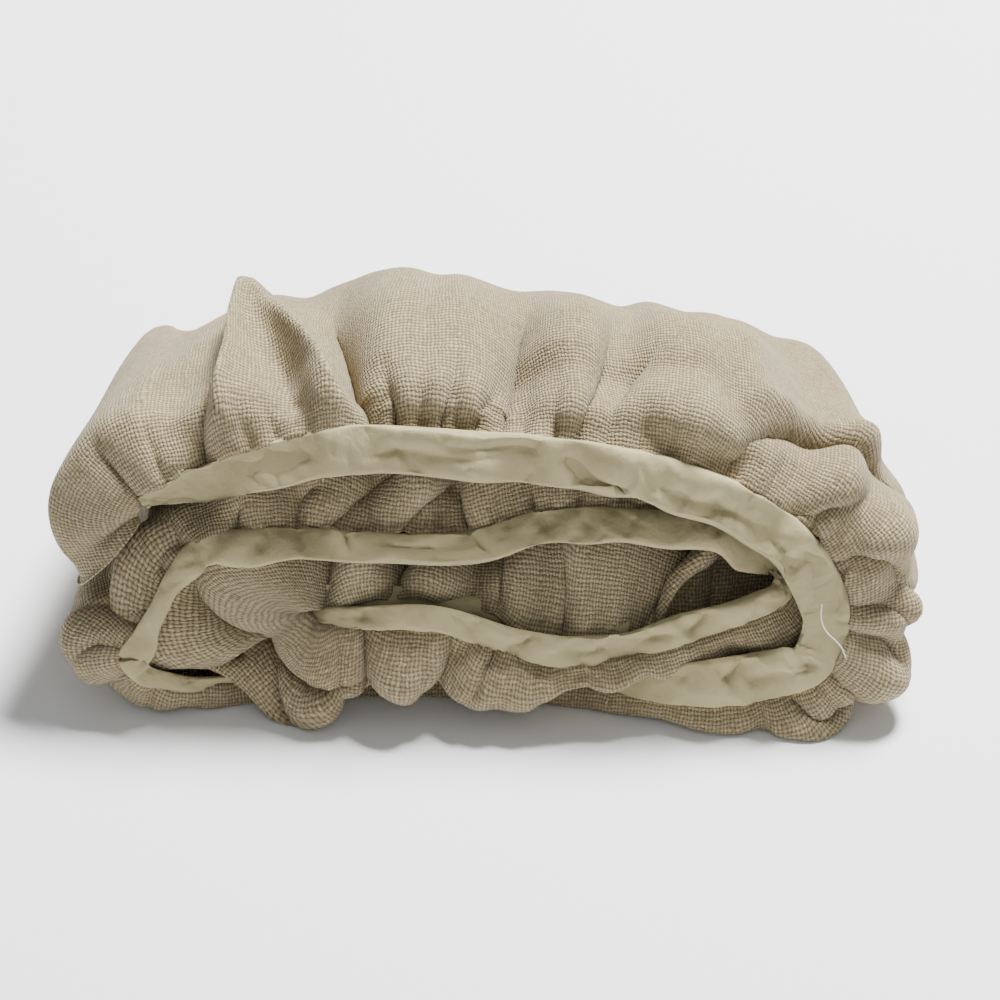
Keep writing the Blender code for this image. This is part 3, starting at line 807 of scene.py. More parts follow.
along = grid_columns()
rows = grid_rows()
print(f"skirt grid of {len(rows)} rows and {len(along)} columns")

# %% Work out the grid's points
CLOTH_THICKNESS = 1.2 * MM
LEAF_GAP = 10.0 * MM             # room under the inner leaf where the sheet lies on itself
FLOOR_ROWS = (7, 9)              # between these stops the sheet turns under itself
SETTLED = 14 * MM                # from here on the cloth has left the stitches
FULL_DROOP = 8 * MM              # a seam that droops this far holds its gathers least
STITCH_GRIP, DROOP_LOSS = 0.6, 0.5
FREED, DROOP_DELAY = 9 * MM, 3 * MM


def blend_rows(places, count):
    """Weights that draw a smooth curve through count stops, read at places."""
    knots = np.arange(count, dtype=float)
    return np.stack([
        through(knots, one, places, np.gradient(one, knots)) for one in np.eye(count)
    ], axis=1)


def stitch_grip(along, distance):
    """How fully creases take hold: less at the stitches, and least where the seam droops."""
    hang = np.clip(read(DRAPES, "droop", along) / FULL_DROOP, 0, 1)
    held = STITCH_GRIP - DROOP_LOSS * hang
    freed = ease(distance[:, None], DROOP_DELAY * hang, FREED + DROOP_DELAY * hang)
    return held + (1 - held) * freed


def soften(grid):
    """Evens out a grid's smallest bumps, and leaves its first row where it is."""
    for axis in (0, 1):
        ends = [(1, 1) if k == axis else (0, 0) for k in range(3)]
        padded = np.moveaxis(np.pad(grid, ends, mode="reflect", reflect_type="odd"), axis, 0)
        even = 0.5 * grid + 0.25 * np.moveaxis(padded[:-2] + padded[2:], 0, axis)
        even[0] = grid[0]
        grid = even
    return grid


def cloth_grid(along, rows):
    """World places of the sheet's middle surface, row by row."""
    (across, up, behind), (out_x, out_y) = seam(along)
    smooth = blend_rows(rows, len(STOPS))
    outward, back = (smooth @ sizes for sizes in section(along))
    flat = on_face(across + outward * out_x, up + outward * out_y, behind + back)
    distance = np.interp(rows, np.arange(len(STOPS)), column(STOPS, "distance"))
    share, under = (np.interp(rows, np.arange(len(STOPS)), [getattr(stop, name) for stop in STOPS])
                    for name in ("share", "under"))
    outer = int((rows <= FLOOR_ROWS[0]).sum())
    normal = unit(np.cross(np.gradient(flat, axis=1), np.gradient(flat, axis=0))[:outer])
    settled = int(np.searchsorted(distance, SETTLED))
    normal[:settled] = normal[settled]
    distance = distance[:outer]
    lift = fold_height(along[None, :], distance[:, None]) * share[:outer, None]
    moved = normal * lift[..., None]
    moved += press_creases(flat[:outer] + moved, normal, along, distance,
                           CREASES + small_gathers(), stitch_grip(along, distance))
    spot = np.interp(under, rows[:outer], np.arange(outer, dtype=float))
    low = np.minimum(np.floor(spot).astype(int), outer - 2)
    part = (spot - low)[:, None, None]
    grid = flat + moved[low] * (1 - part) + moved[low + 1] * part
    floor = CLOTH_THICKNESS / 2 + LEAF_GAP * ease(rows, *FLOOR_ROWS)
    grid[..., 2] = np.maximum(grid[..., 2], floor[:, None])
    return soften(grid)


skirt_grid = cloth_grid(along, rows)
print(f"the sheet reaches from {skirt_grid[..., 0].min():.3f} to {skirt_grid[..., 0].max():.3f} m")

# %% Make the sheet


def sheet_piece(name, grid):
    """A mesh object with a face between each four neighbouring points of the grid."""
    rows, columns = grid.shape[:2]
    corner = np.arange(rows * columns).reshape(rows, columns)
    faces = np.stack([corner[:-1, :-1], corner[:-1, 1:], corner[1:, 1:], corner[1:, :-1]],
                     axis=-1).reshape(-1, 4)
    data = bpy.data.meshes.new(name)
    data.from_pydata(grid.reshape(-1, 3).tolist(), [], faces.tolist())
    piece = bpy.data.objects.new(name, data)
    bpy.context.collection.objects.link(piece)
    return piece


skirt = sheet_piece("gathered_skirt", skirt_grid)
print(f"the sheet has {len(skirt.data.polygons)} faces")

# %% [markdown]
# ## The gathered cloth: where its threads run
#
# The weave has to follow the cloth, so the sheet needs a map of where each point was
# when it lay flat, in metres. Down the drop this is the distance from the seam, and
# along the strip it is the length of the folded row. No map of a bundled sheet can keep
# every length, as nothing here was really folded from flat. So the map starts from the
# rows' own lengths and is then evened out: round by round each point moves to where its
# neighbours' true distances would put it. That keeps the weave square almost everywhere.

# %% Even out a map
MAP_ROUNDS = 800
KEEP = 0.25                      # share of a point's old place that each round keeps


def even_out(value, *steps):
    """Moves a map's values, round by round, to fit the steps between neighbours.

    Each of the steps is (axis, difference, weight).
    """
    sides = [((slice(None),) * axis + (slice(None, -1),), (slice(None),) * axis + (slice(1, None),),
              difference, weight) for axis, difference, weight in steps]
    heavy = np.zeros_like(value)
    for low, high, _, weight in sides:
        heavy[high] += weight
        heavy[low] += weight
    for _ in range(MAP_ROUNDS):
        total = np.zeros_like(value)
        for low, high, difference, weight in sides:
            total[high] += weight * (value[low] + difference)
            total[low] += weight * (value[high] - difference)
        value = KEEP * value + (1 - KEEP) * total / heavy
    return value


print(f"maps are evened out in {MAP_ROUNDS} rounds")

# %% Map the cloth's threads
THREAD_MAP = "threads"
THREAD_MEMORY = 60.0 * MM        # a thread forgets its own row's wanderings over this length
FULL_WEIGHT = 2.5 * MM           # columns closer together than this count for less
LEAST_WEIGHT = 0.1
SHAPE_WEIGHTS = (0.05, 20)       # least and most weight for a cell's height over its width
LEAST_FALL = 0.3                 # share of a step down that always counts as drop


def smooth_along(values, places, reach):
    """A running mean of each row of values, over about reach either way."""
    total = np.concatenate([np.zeros((len(values), 1)), np.cumsum(values, axis=1)], axis=1)
    low = np.searchsorted(places, places - reach)
    high = np.searchsorted(places, places + reach, side="right")
    return (total[:, high] - total[:, low]) / (high - low)


def halfway(values, axis):
    """Means of each two neighbours along an axis."""
    values = np.moveaxis(values, axis, 0)
    return np.moveaxis((values[1:] + values[:-1]) / 2, 0, axis)


def at_points(values, axis):
    """Values given for the gaps between points, brought to the points."""
    ends = [(1, 1) if k == axis else (0, 0) for k in range(values.ndim)]
    return halfway(np.pad(values, ends, mode="edge"), axis)


def weights(beside, length, width):
    """What each step counts for: its cell's shape, and less where columns crowd."""
    crowded = np.clip(width / FULL_WEIGHT, LEAST_WEIGHT, 1) ** 2
    return np.clip(beside / length, *SHAPE_WEIGHTS) * crowded


def thread_map(grid, along):
    """Where each point of the sheet lay when the cloth was flat, in metres."""
    below = np.diff(grid, axis=0)
    run, fall = (np.linalg.norm(np.diff(grid, axis=axis), axis=-1) for axis in (1, 0))
    own = np.concatenate([np.zeros((len(grid), 1)), np.cumsum(run, axis=1)], axis=1)
    common = np.median(own, axis=0)[None]
    across = own - smooth_along(own - common, along, THREAD_MEMORY)
    drop = np.concatenate([np.zeros((1, grid.shape[1])), np.cumsum(fall, axis=0)])
    drop = smooth_along(drop, along, THREAD_MEMORY / 2)
    slant = (below * halfway(unit(np.gradient(grid, axis=1)), 0)).sum(axis=-1)
    straight = np.sqrt(np.maximum(fall ** 2 - slant ** 2, (LEAST_FALL * fall) ** 2))
    wide = halfway(at_points(run, 1), 0)
    heavy_right = weights(at_points(halfway(fall, 1), 0), run, run)
    heavy_down = weights(wide, fall, wide)
    across = even_out(across, (1, run, heavy_right), (0, slant, heavy_down))
    drop = even_out(drop, (1, 0, heavy_right), (0, straight, heavy_down))
    return across, drop


def give_map(piece, across, down):
    """Writes a flat map onto a sheet's corners as its UV map."""
    layer = piece.data.uv_layers.new(name=THREAD_MAP)
    corner = np.empty(len(piece.data.loops), int)
    piece.data.loops.foreach_get("vertex_index", corner)
    flat = np.stack([across.ravel()[corner], down.ravel()[corner]], axis=1)
    layer.data.foreach_set("uv", flat.ravel())


threads_across, threads_down = thread_map(skirt_grid, along)
give_map(skirt, threads_across, threads_down)

# %% [markdown]
# ## The gathered cloth: thickness
#
# The sheet so far is the cloth's middle surface. Solidify gives it the cloth's thickness
# and closes its edges, so there is a real hem to look at wherever an edge shows.

# %% Give the cloth thickness


def select_only(piece):
    """Selects one piece and makes it the active one."""
    bpy.ops.object.select_all(action="DESELECT")
    bpy.context.view_layer.objects.active = piece
    piece.select_set(True)


def triangle_count(piece):
    """How many triangles a piece's mesh comes to."""
    piece.data.calc_loop_triangles()
    return len(piece.data.loop_triangles)


select_only(skirt)
thickness = skirt.modifiers.new("thickness", "SOLIDIFY")
thickness.thickness = CLOTH_THICKNESS
thickness.offset = 0.0
bpy.ops.object.modifier_apply(modifier=thickness.name)
bpy.ops.object.shade_smooth()
print(f"the cloth has {triangle_count(skirt)} triangles")

# %% [markdown]
# ## The casing band
#
# The band is a flat tube of finer, greyer cotton, about as wide as a thumb, with its
# seam edge sewn to the gathers. It was pulled up with them, so it is full of small
# crinkles across its width. It is lofted along the seam like a ribbon with a rounded
# section, and the crinkles are pushed into it.

# %% The band's free edge along the seam, in millimetres
# How far in from the seam it lies on the face and towards the front, and how far the
# flat tube is puffed up in front.
Strip = namedtuple("Strip", "along inward forward puff")
STRIPS = [
    Strip(20, 7, 0, 2),
    Strip(60, 20, 2, 3),
    Strip(120, 26, 2, 5),
    Strip(300, 28, 3, 6),
    Strip(400, 26, 3, 6),
    Strip(440, 27, 3, 4),
    Strip(500, 28, 3, 4),
    Strip(520, 33, 4, 6),
    Strip(560, 33, 4, 5),
    Strip(600, 24, 4, 3),
    Strip(640, 18, 2, 3),
    Strip(680, 10, 0, 2),
    Strip(840, 9, 0, 2),
    Strip(890, 12, 2, 2),
    Strip(925, 17, 3, 3),
    Strip(945, 12, 2, 3),
    Strip(960, 11, 2, 3),
    Strip(985, 17, 3, 3),
    Strip(1010, 16, 6, 3),
    Strip(1060, 12, 10, 3),
    Strip(1285, 15, 11, 3),
    Strip(1305, 23, 8, 3),
    Strip(1325, 20, 5, 3),
    Strip(1345, 17, 4, 3),
    Strip(1362, 17, 4, 3),
    Strip(1385, 18, 4, 4),
    Strip(1430, 20, 3, 4),
    Strip(1500, 21, 3, 4),
    Strip(1560, 16, 3, 4),
    Strip(1600, 14, 2, 3),
    Strip(1622, 12, 0, 3),
    Strip(1636, 3, -9, 2),
    Strip(1646, 0, -14, 2),
    Strip(1656, 4, -8, 2),
    Strip(1666, 13, 1, 3),
    Strip(1700, 15, 3, 3),
    Strip(1841, 13, 1, 3),
]
print(f"the band is up to {max(strip.inward for strip in STRIPS)} mm wide")

# %% Lay the band's two edges
BAND_START, BAND_END = 22 * MM, 1835 * MM
BAND_STEP = 1.7 * MM
CRINKLE_SEED = 33
WANDER_SPACING = (14, 34)        # apart along the seam, between turns of a wandering edge
WANDERS = 90
WANDER_INWARD, WANDER_FORWARD, WANDER_SEAM = 1.1 * MM, 1.2 * MM, 0.5 * MM
CALM_WIDTH = 20 * MM             # a narrower band than this wanders less


def band_frame(along):
    """The band's two edges along the seam, and the way its face looks."""
    chance = np.random.default_rng(CRINKLE_SEED)
    (across, up, behind), (out_x, out_y) = seam(along)
    inward, forward = (read(STRIPS, name, along) for name in ("inward", "forward"))
    knots = np.cumsum(chance.uniform(*WANDER_SPACING, WANDERS)) * MM
    wavy = [through(knots, values, along, np.gradient(values, knots))
            for values in chance.normal(0, 1, (3, WANDERS))]
    calm = np.clip(inward / CALM_WIDTH, 0, 1)
    inward = inward + wavy[0] * WANDER_INWARD * calm
    forward = forward + wavy[1] * WANDER_FORWARD * calm
    edge = on_face(across, up, behind - wavy[2] * WANDER_SEAM)
    free = on_face(across - inward * out_x, up - inward * out_y, behind - forward)
    run = np.gradient((edge + free) / 2, axis=0)
    return edge, free, unit(np.cross(free - edge, run))


print(f"the band is sewn on over {BAND_END - BAND_START:.2f} m of the seam")

# %% [markdown]
# ### The band's creases
#
# Where the band turns or is pulled by the gathers, the cotton creases across, and some
# folds run along it. Those that show are in a table. Little puckers start at both of its
# edges, by chance, and soft slanting waves fill the rest, as in any crumpled tube.

# %% Creases in the band
PERCENT = 0.001                  # in these tables the band is a hundred millimetres wide

# Each path gives places along the seam, and how far across the band from the seam edge,
# in hundredths of its width.
PUCKERS = [
    Crease("across", 4.5, 2.5, 0, [(54, 0), (56, 50), (61, 104)]),
    Crease("lengthwise", 4.5, 2.5, 0, [(50, 62), (90, 50), (134, 34)]),
    Crease("lengthwise", 4.5, 2.5, 0, [(166, 22), (176, 58), (188, 96)]),
    Crease("wrap", 6.5, 8, 0, [(262, 30), (272, 52), (284, 76), (302, 104)]),
    Crease("wrap", 5, 2.5, 0, [(306, 16), (311, 50), (320, 84)]),
    Crease("dimple", 4.5, 2.5, 0, [(350, 46), (361, 60), (371, 50)]),
    Crease("dimple", 5, 6.5, 0, [(398, 62), (411, 70), (426, 72)]),
    Crease("dimple", 4.5, 2.5, 0, [(434, 50), (446, 52), (458, 58)]),
    Crease("across", 4.5, 6.5, 0, [(457, 104), (457, 62), (459, 12)]),
    Crease("rolled edge", 6, 8, 0, [(470, 96), (480, 78), (494, 82)]),
    Crease("across", 4.5, 2.5, 0, [(498, 66), (508, 48)]),
    Crease("deep fold", 6, 9, 0, [(558, 104), (561, 74), (568, 50)]),
    Crease("across", 4.5, 2.5, 0, [(585, 100), (588, 60)]),
    Crease("across", 4.5, 2.5, 0, [(1051, 0), (1053, 50), (1056, 100)]),
    Crease("across", 4.5, 6.5, 0, [(1077, 0), (1078, 50), (1082, 102)]),
    Crease("across", 4.5, 6.5, 0, [(1145, 0), (1149, 50), (1158, 102)]),
    Crease("across", 4.5, 2.5, 0, [(1184, 10), (1189, 64)]),
    Crease("across", 4.5, 2.5, 0, [(1232, 90), (1238, 30)]),
    Crease("turn", 6, 3, 0, [(1350, 100), (1356, 50), (1366, 0)]),
    Crease("across", 4.5, 6.5, 0, [(1407, 104), (1411, 60), (1420, 30)]),
    Crease("across", 4.5, 2.5, 0, [(1459, 0), (1464, 50)]),
    Crease("across", 4.5, 6.5, 0, [(1512, 104), (1517, 60), (1526, 10)]),
    Crease("across", 4.5, 2.5, 0, [(1602, 100), (1604, 40)]),
    Crease("across", 4.5, 2.5, 0, [(1626, 100), (1627, 30)]),
    Crease("across", 4.5, 2.5, 0, [(1706, 100), (1712, 30)]),
    Crease("long", 6, 5, 0, [(60, 26), (92, 40), (132, 62)]),
    Crease("long", 6, 5, 0, [(150, 66), (176, 52), (206, 58), (240, 44)]),
    Crease("long", 6, 5, 0, [(196, 30), (228, 24), (256, 34)]),
    Crease("long", 7, 6, 0, [(318, 58), (348, 66), (384, 60), (404, 70)]),
    Crease("long", 6, 5, 0, [(410, 34), (436, 28), (462, 38)]),
    Crease("long", 7, 6, 0, [(500, 40), (524, 48), (556, 44)]),
    Crease("long", 6, 5, 0, [(1090, 40), (1122, 54), (1150, 48)]),
    Crease("long", 5, 4, 0, [(1420, 50), (1452, 60), (1490, 50)]),
]
PUCKER_START, PUCKER_END = 26.0, 1830
PUCKER_EDGES = [0, 0, 0, 100, 100, 30]
PUCKER_SPACING = (4, 11)

# The soft waves, from small to large: their length, and how high they stand.
Wave = namedtuple("Wave", "length size")
WAVES = [Wave(9, 0.4), Wave(15, 0.9), Wave(26, 1.4), Wave(44, 1.5)]
WAVE_RUN = 2400                  # the waves are laid out over this length, in millimetres


def small_puckers():
    """Little creases that start at either edge of the band, spaced by chance."""
    chance = random.Random(CRINKLE_SEED)
    rows, place = [], PUCKER_START
    while place < PUCKER_END:
        start = chance.choice(PUCKER_EDGES)
        length = chance.uniform(16, 62) * (-1 if start == 100 else 1)
        drift = chance.uniform(-5, 5)
        rows.append(Crease(
            "pucker", half=chance.uniform(1.6, 3.4), depth=chance.uniform(0.6, 2.0), lap=0,
            path=[(place, start), (place + drift, start + length)],
        ))
        place += chance.uniform(*PUCKER_SPACING)
    return rows


def soft_waves(along, share):
    """Height of the soft slanting waves that the crumpled tube is full of."""
    chance = np.random.default_rng(CRINKLE_SEED + 1)
    height = np.zeros(np.broadcast(along, share).shape)
    for wave in WAVES:
        gaps = chance.uniform(0.6 * wave.length, 1.4 * wave.length, WAVE_RUN // wave.length)
        knots = np.cumsum(gaps) * MM
        values = chance.normal(0, wave.size, len(knots)) * MM
        slants = chance.normal(0, wave.length, len(knots)) * MM
        slant = through(knots, slants, along, np.zeros(len(knots)))
        spots = along + slant * (share - 0.5)
        height += through(knots, values, spots, np.gradient(values, knots))
    return height


print(f"{len(PUCKERS)} creases in the band, {len(small_puckers())} small puckers")

# %% Loft the band
BAND_SIDE = 17                   # points across each side of the band
BAND_ROLL = 0.5                  # how square its rounded edges are
SEAM_GRIP, SEAM_GRIP_WIDTH = 0.6, 0.1


def band_rings(along):
    """Rings of points round the flat tube, one for each place along the seam."""
    edge, free, face = band_frame(along)
    puff = read(STRIPS, "puff", along)
    share = (1 - np.cos(np.linspace(0, math.pi, BAND_SIDE))) / 2
    bulge = np.sin(np.linspace(0, math.pi, BAND_SIDE)) ** BAND_ROLL
    flat = edge[None] + (free - edge)[None] * share[:, None, None]
    high = bulge[:, None] * (puff[None] + soft_waves(along[None], share[:, None]))
    front = flat + face[None] * high[..., None]
    normal = unit(np.cross(np.gradient(front, axis=1), np.gradient(front, axis=0)))
    normal *= np.sign((normal * face[None]).sum(axis=-1, keepdims=True))
    grip = SEAM_GRIP + (1 - SEAM_GRIP) * ease(share, 0, SEAM_GRIP_WIDTH)
    front = front + press_creases(front, normal, along, share * 100 * PERCENT,
                                  PUCKERS + small_puckers(), np.outer(grip, np.ones(len(along))))
    back = flat - face[None] * (bulge * BAND_THICKNESS / 2)[:, None, None]
    return np.concatenate([front, back[-2:0:-1]])


def make_band():
    """The band as a closed flat tube, with its map in metres."""
    places = np.arange(BAND_START, BAND_END, BAND_STEP)
    rings = band_rings(places)
    around, count = rings.shape[:2]
    mesh = bmesh.new()
    uv = mesh.loops.layers.uv.new(THREAD_MAP)
    verts = [[mesh.verts.new(point) for point in ring] for ring in rings]
    gaps = np.linalg.norm(np.diff(rings, axis=0, append=rings[:1]), axis=-1).mean(axis=1)
    girth = np.concatenate([[0], np.cumsum(gaps)])
    for k in range(around):
        n = (k + 1) % around
        for j in range(count - 1):
            face = mesh.faces.new((verts[k][j], verts[n][j], verts[n][j + 1], verts[k][j + 1]))
            spots = ((j, k), (j, k + 1), (j + 1, k + 1), (j + 1, k))
            for loop, (a, b) in zip(face.loops, spots):
                loop[uv].uv = (places[a], girth[b])
    mesh.faces.new([ring[0] for ring in verts][::-1])
    mesh.faces.new([ring[-1] for ring in verts])
    bmesh.ops.recalc_face_normals(mesh, faces=mesh.faces)
    data = bpy.data.meshes.new("casing_band")
    mesh.to_mesh(data)
    mesh.free()
    piece = bpy.data.objects.new("casing_band", data)
    bpy.context.collection.objects.link(piece)
    return piece


band = make_band()
select_only(band)
bpy.ops.object.shade_smooth()
print(f"the band has {triangle_count(band)} triangles")

# %% [markdown]
# ## Finishes
#
# Every finish here is a tree of shader nodes. Placing nodes and joining their sockets is
# the same work each time, so a few helpers do it, and what is left in each material is
# only what makes it look the way it does.

# %% Helpers for materials


def feed(tree, socket, value):
    """Joins a socket to another one, or sets it to a plain value."""
    if isinstance(value, bpy.types.NodeSocket):
        tree.links.new(value, socket)
    else:
        socket.default_value = value


def node(tree, kind, inputs, **settings):
    """Adds a node with its settings, and feeds its inputs."""
    made = tree.nodes.new(kind)
    for key, value in settings.items():
        setattr(made, key, value)
    for key, value in inputs.items():
        feed(tree, made.inputs[key], value)
    return made


def calc(tree, operation, *values, clamp=False):
    """A Math node's result."""
    return node(tree, "ShaderNodeMath", dict(enumerate(values)), operation=operation,
                use_clamp=clamp).outputs[0]


def noise(tree, vector, scale, detail, rough):
    """A Noise Texture's value, from 0 to 1."""
    return node(tree, "ShaderNodeTexNoise", {"Vector": vector, "Scale": scale, "Detail": detail,
                                             "Roughness": rough}).outputs["Fac"]


def mix_colour(tree, share, one, two):
    """One colour turned to another by share."""
    ends = [end if isinstance(end, bpy.types.NodeSocket) else (*end, 1.0) for end in (one, two)]
    return node(tree, "ShaderNodeMix", {"Factor": share, 6: ends[0], 7: ends[1]},
                data_type="RGBA").outputs[2]


def new_material(name, settings):
    """A material with its node tree and its shader, which is given plain settings."""
    made = bpy.data.materials.new(name)
    made.use_nodes = True
    shader = made.node_tree.nodes["Principled BSDF"]
    for key, value in settings.items():
        shader.inputs[key].default_value = value
    return made, made.node_tree, shader


def raise_surface(tree, shader, height, distance, strength):
    """Makes a height show as bumps on the shader's surface."""
    bump = node(tree, "ShaderNodeBump", {"Height": height, "Distance": distance,
                                         "Strength": strength})
    feed(tree, shader.inputs["Normal"], bump.outputs[0])


print("materials to make: coarse linen, plain cotton, white sewing thread, pale floor")

# %% [markdown]
# ### A weave for every cloth
#
# Both cloths are woven, so one node group draws a weave from the sheet's own map, and
# each material gives it its own thread spacing, unevenness and depth. It puts out how
# high the threads stand, where the gaps between them are, which both finishes paint darker
# as painted shade, and a tone for each thread.
# A picture of a weave would blur close by, and these nodes stay sharp at any distance.

# %% A node group that draws a weave
WAVER_NOISE = (110.0, 3.0, 0.6)  # scale, detail and roughness of the yarns' wavering
WAVER_SHIFT = 7.3                # keeps the two directions from wavering alike
WAVER_THREADS = 4.0              # a full waver moves a yarn by this many threads
SLUB_NOISE = (1.0, 2.0, 0.6)
SLUB_STEP, SLUB_STRETCH = 3.17, 0.16    # slubs change from yarn to yarn, and slowly along one
SLUB_SIDE = 5.0                  # keeps the two directions' slubs apart
YARN_LIFT, YARN_DIP = 0.62, 0.38        # a yarn's mean height, and its rise and fall
YARN_WIDTH, YARN_EDGE = 0.55, 0.45      # how wide a yarn is, and how steep its sides are
GAP_DEPTH = 1.18                 # the gaps are where the yarns are lower than 1 over this


def weave_group():
    """Plain weave: threads that pass over and under each other, with slubs and gaps."""
    number = "NodeSocketFloat"
    tree = bpy.data.node_groups.new("weave", "ShaderNodeTree")
    for label, kind, value in (("Map", "NodeSocketVector", None), ("Across Pitch", number, 0.002),
                               ("Down Pitch", number, 0.0025), ("Waver", number, 0.25),
                               ("Slub", number, 0.3)):
        socket = tree.interface.new_socket(label, in_out="INPUT", socket_type=kind)
        if value is not None:
            socket.default_value = value
    for label in ("Height", "Gap", "Tone"):
        tree.interface.new_socket(label, in_out="OUTPUT", socket_type=number)
    given = tree.nodes.new("NodeGroupInput").outputs
    spot = node(tree, "ShaderNodeSeparateXYZ", {0: given["Map"]}).outputs
    lines = []
    for axis, pitch, shift in (("X", "Across Pitch", 0.0), ("Y", "Down Pitch", WAVER_SHIFT)):
        moved = node(tree, "ShaderNodeVectorMath", {0: given["Map"], 1: (shift, shift, 0)},
                     operation="ADD").outputs[0]
        waver = calc(tree, "SUBTRACT", noise(tree, moved, *WAVER_NOISE), 0.5)
        waver = calc(tree, "MULTIPLY", waver, given["Waver"])
        lines.append(calc(tree, "ADD", calc(tree, "DIVIDE", spot[axis], given[pitch]),
                          calc(tree, "MULTIPLY", waver, WAVER_THREADS)))
    index = [calc(tree, "FLOOR", count) for count in lines]
    over, slubs = [], []
    for run, other in ((0, 1), (1, 0)):
        wave = calc(tree, "SINE", calc(tree, "MULTIPLY", lines[run], math.pi))
        on_thread = node(tree, "ShaderNodeCombineXYZ", {
            0: calc(tree, "MULTIPLY", index[run], SLUB_STEP),
            1: calc(tree, "MULTIPLY", lines[other], SLUB_STRETCH),
            2: SLUB_SIDE * run,
        }).outputs[0]
        slubs.append(noise(tree, on_thread, *SLUB_NOISE))
        parity = calc(tree, "MODULO", calc(tree, "ABSOLUTE", index[run]), 2.0)
        turn = calc(tree, "ADD", calc(tree, "ADD", lines[other], parity), 0.5 + run)
        turn = calc(tree, "COSINE", calc(tree, "MULTIPLY", turn, math.pi))
        lift = calc(tree, "ADD", YARN_LIFT, calc(tree, "MULTIPLY", turn, YARN_DIP))
        fat = calc(tree, "MULTIPLY", calc(tree, "SUBTRACT", slubs[run], 0.5), given["Slub"])
        width = calc(tree, "ADD", YARN_WIDTH, fat)
        body = calc(tree, "POWER", calc(tree, "ABSOLUTE", wave),
                    calc(tree, "DIVIDE", YARN_EDGE, width))
        over.append(calc(tree, "MULTIPLY", body, lift))
    height = calc(tree, "MAXIMUM", *over)
    # where the yarns are low: a mask that the finishes use to paint shade into the gaps
    gap = calc(tree, "SUBTRACT", 1.0, calc(tree, "MULTIPLY", height, GAP_DEPTH), clamp=True)
    which = calc(tree, "GREATER_THAN", *over)
    tone = node(tree, "ShaderNodeMix", {0: which, 2: slubs[1], 3: slubs[0]}, data_type="FLOAT")
    node(tree, "NodeGroupOutput", {"Height": height, "Gap": gap, "Tone": tone.outputs[0]})
    return tree


weave = weave_group()


def woven(tree, pitch, waver, slub):
    """The cloth's own map, and the weave drawn on it."""
    flat = node(tree, "ShaderNodeUVMap", {}, uv_map=THREAD_MAP).outputs[0]
    return flat, node(tree, "ShaderNodeGroup", {
        "Map": flat, "Across Pitch": pitch[0], "Down Pitch": pitch[1], "Waver": waver, "Slub": slub,
    }, node_tree=weave).outputs


print("weave group:", len(weave.nodes), "nodes")

# %% [markdown]
# ### Coarse linen
#
# Thick cream yarns in an open plain weave: some fatter, some darker, with painted shade
# in the gap at every corner where four of them meet. The gaps and the height of the yarns
# make it look coarse even from a step away. Bleached and unbleached stretches cloud it a little.

# %% Coarse linen for the skirt
LINEN_LIGHT = (0.435, 0.36, 0.207)
LINEN_DARK = (0.20, 0.146, 0.075)
# painted shade: the colour painted into the gaps between the yarns
LINEN_GAP_SHADE = (0.06, 0.038, 0.017)
LINEN_PITCH = (1.85 * MM, 2.35 * MM)
LINEN_CLOUD = (9.0, 4.0, 0.55)   # scale, detail and roughness of each noise
LINEN_FLECK = (330.0, 3.0, 0.65)
LINEN_FUZZ = (2600.0, 2.0, 0.7)
YARN_SHARE, FLECK_SHARE, TONE_LOSS = 2.2, 1.2, 1.85
FUZZ_HEIGHT = 0.12               # of the loose fibres, to the yarns' 1


def linen():
    """Material of the coarse linen."""
    made, tree, shader = new_material("coarse_linen_weave", {
        "Roughness": 0.92, "Specular IOR Level": 0.25, "Sheen Weight": 0.12, "Sheen Roughness": 0.6,
    })
    flat, threads = woven(tree, LINEN_PITCH, waver=0.4, slub=0.8)
    cloud = calc(tree, "SUBTRACT", noise(tree, flat, *LINEN_CLOUD), TONE_LOSS)
    tone = calc(tree, "ADD", calc(tree, "MULTIPLY", threads["Tone"], YARN_SHARE), cloud)
    fleck = calc(tree, "MULTIPLY", noise(tree, flat, *LINEN_FLECK), FLECK_SHARE)
    tone = calc(tree, "ADD", tone, fleck, clamp=True)
    yarn = mix_colour(tree, tone, LINEN_LIGHT, LINEN_DARK)
    # the gaps between the yarns are painted darker, as painted shade
    gap = calc(tree, "POWER", threads["Gap"], 0.9)
    feed(tree, shader.inputs["Base Color"], mix_colour(tree, gap, yarn, LINEN_GAP_SHADE))
    fuzz = calc(tree, "MULTIPLY", noise(tree, flat, *LINEN_FUZZ), FUZZ_HEIGHT)
    high = calc(tree, "ADD", threads["Height"], fuzz)
    raise_surface(tree, shader, high, CLOTH_THICKNESS, strength=0.7)
    return made


skirt.data.materials.append(linen())
print("the skirt is", skirt.data.materials[0].name)

# %% [markdown]
# ### Plain cotton
#
# The band's cotton is woven so finely that its threads hardly show. What shows is a
# greyer, greener cream, small creases from being pulled up, and a faint cloudiness. The
# gaps of its weave are painted a little darker, as painted shade.

# %% Plain cotton for the band
COTTON_LIGHT = (0.44, 0.378, 0.206)
COTTON_DARK = (0.29, 0.24, 0.122)
COTTON_PITCH = (0.55 * MM, 0.6 * MM)
COTTON_CLOUD = (30.0, 4.0, 0.6)  # scale, detail and roughness of each noise
COTTON_SMALL, SMALL_HEIGHT = (260.0, 4.0, 0.6), 0.9
COTTON_BROAD, BROAD_HEIGHT = (70.0, 3.0, 0.5), 2.4
THREAD_HEIGHT = 0.1
# painted shade: how much the gaps of the weave darken the cotton's colour
COTTON_GAP_SHADE, COTTON_LOSS = 0.35, 0.25


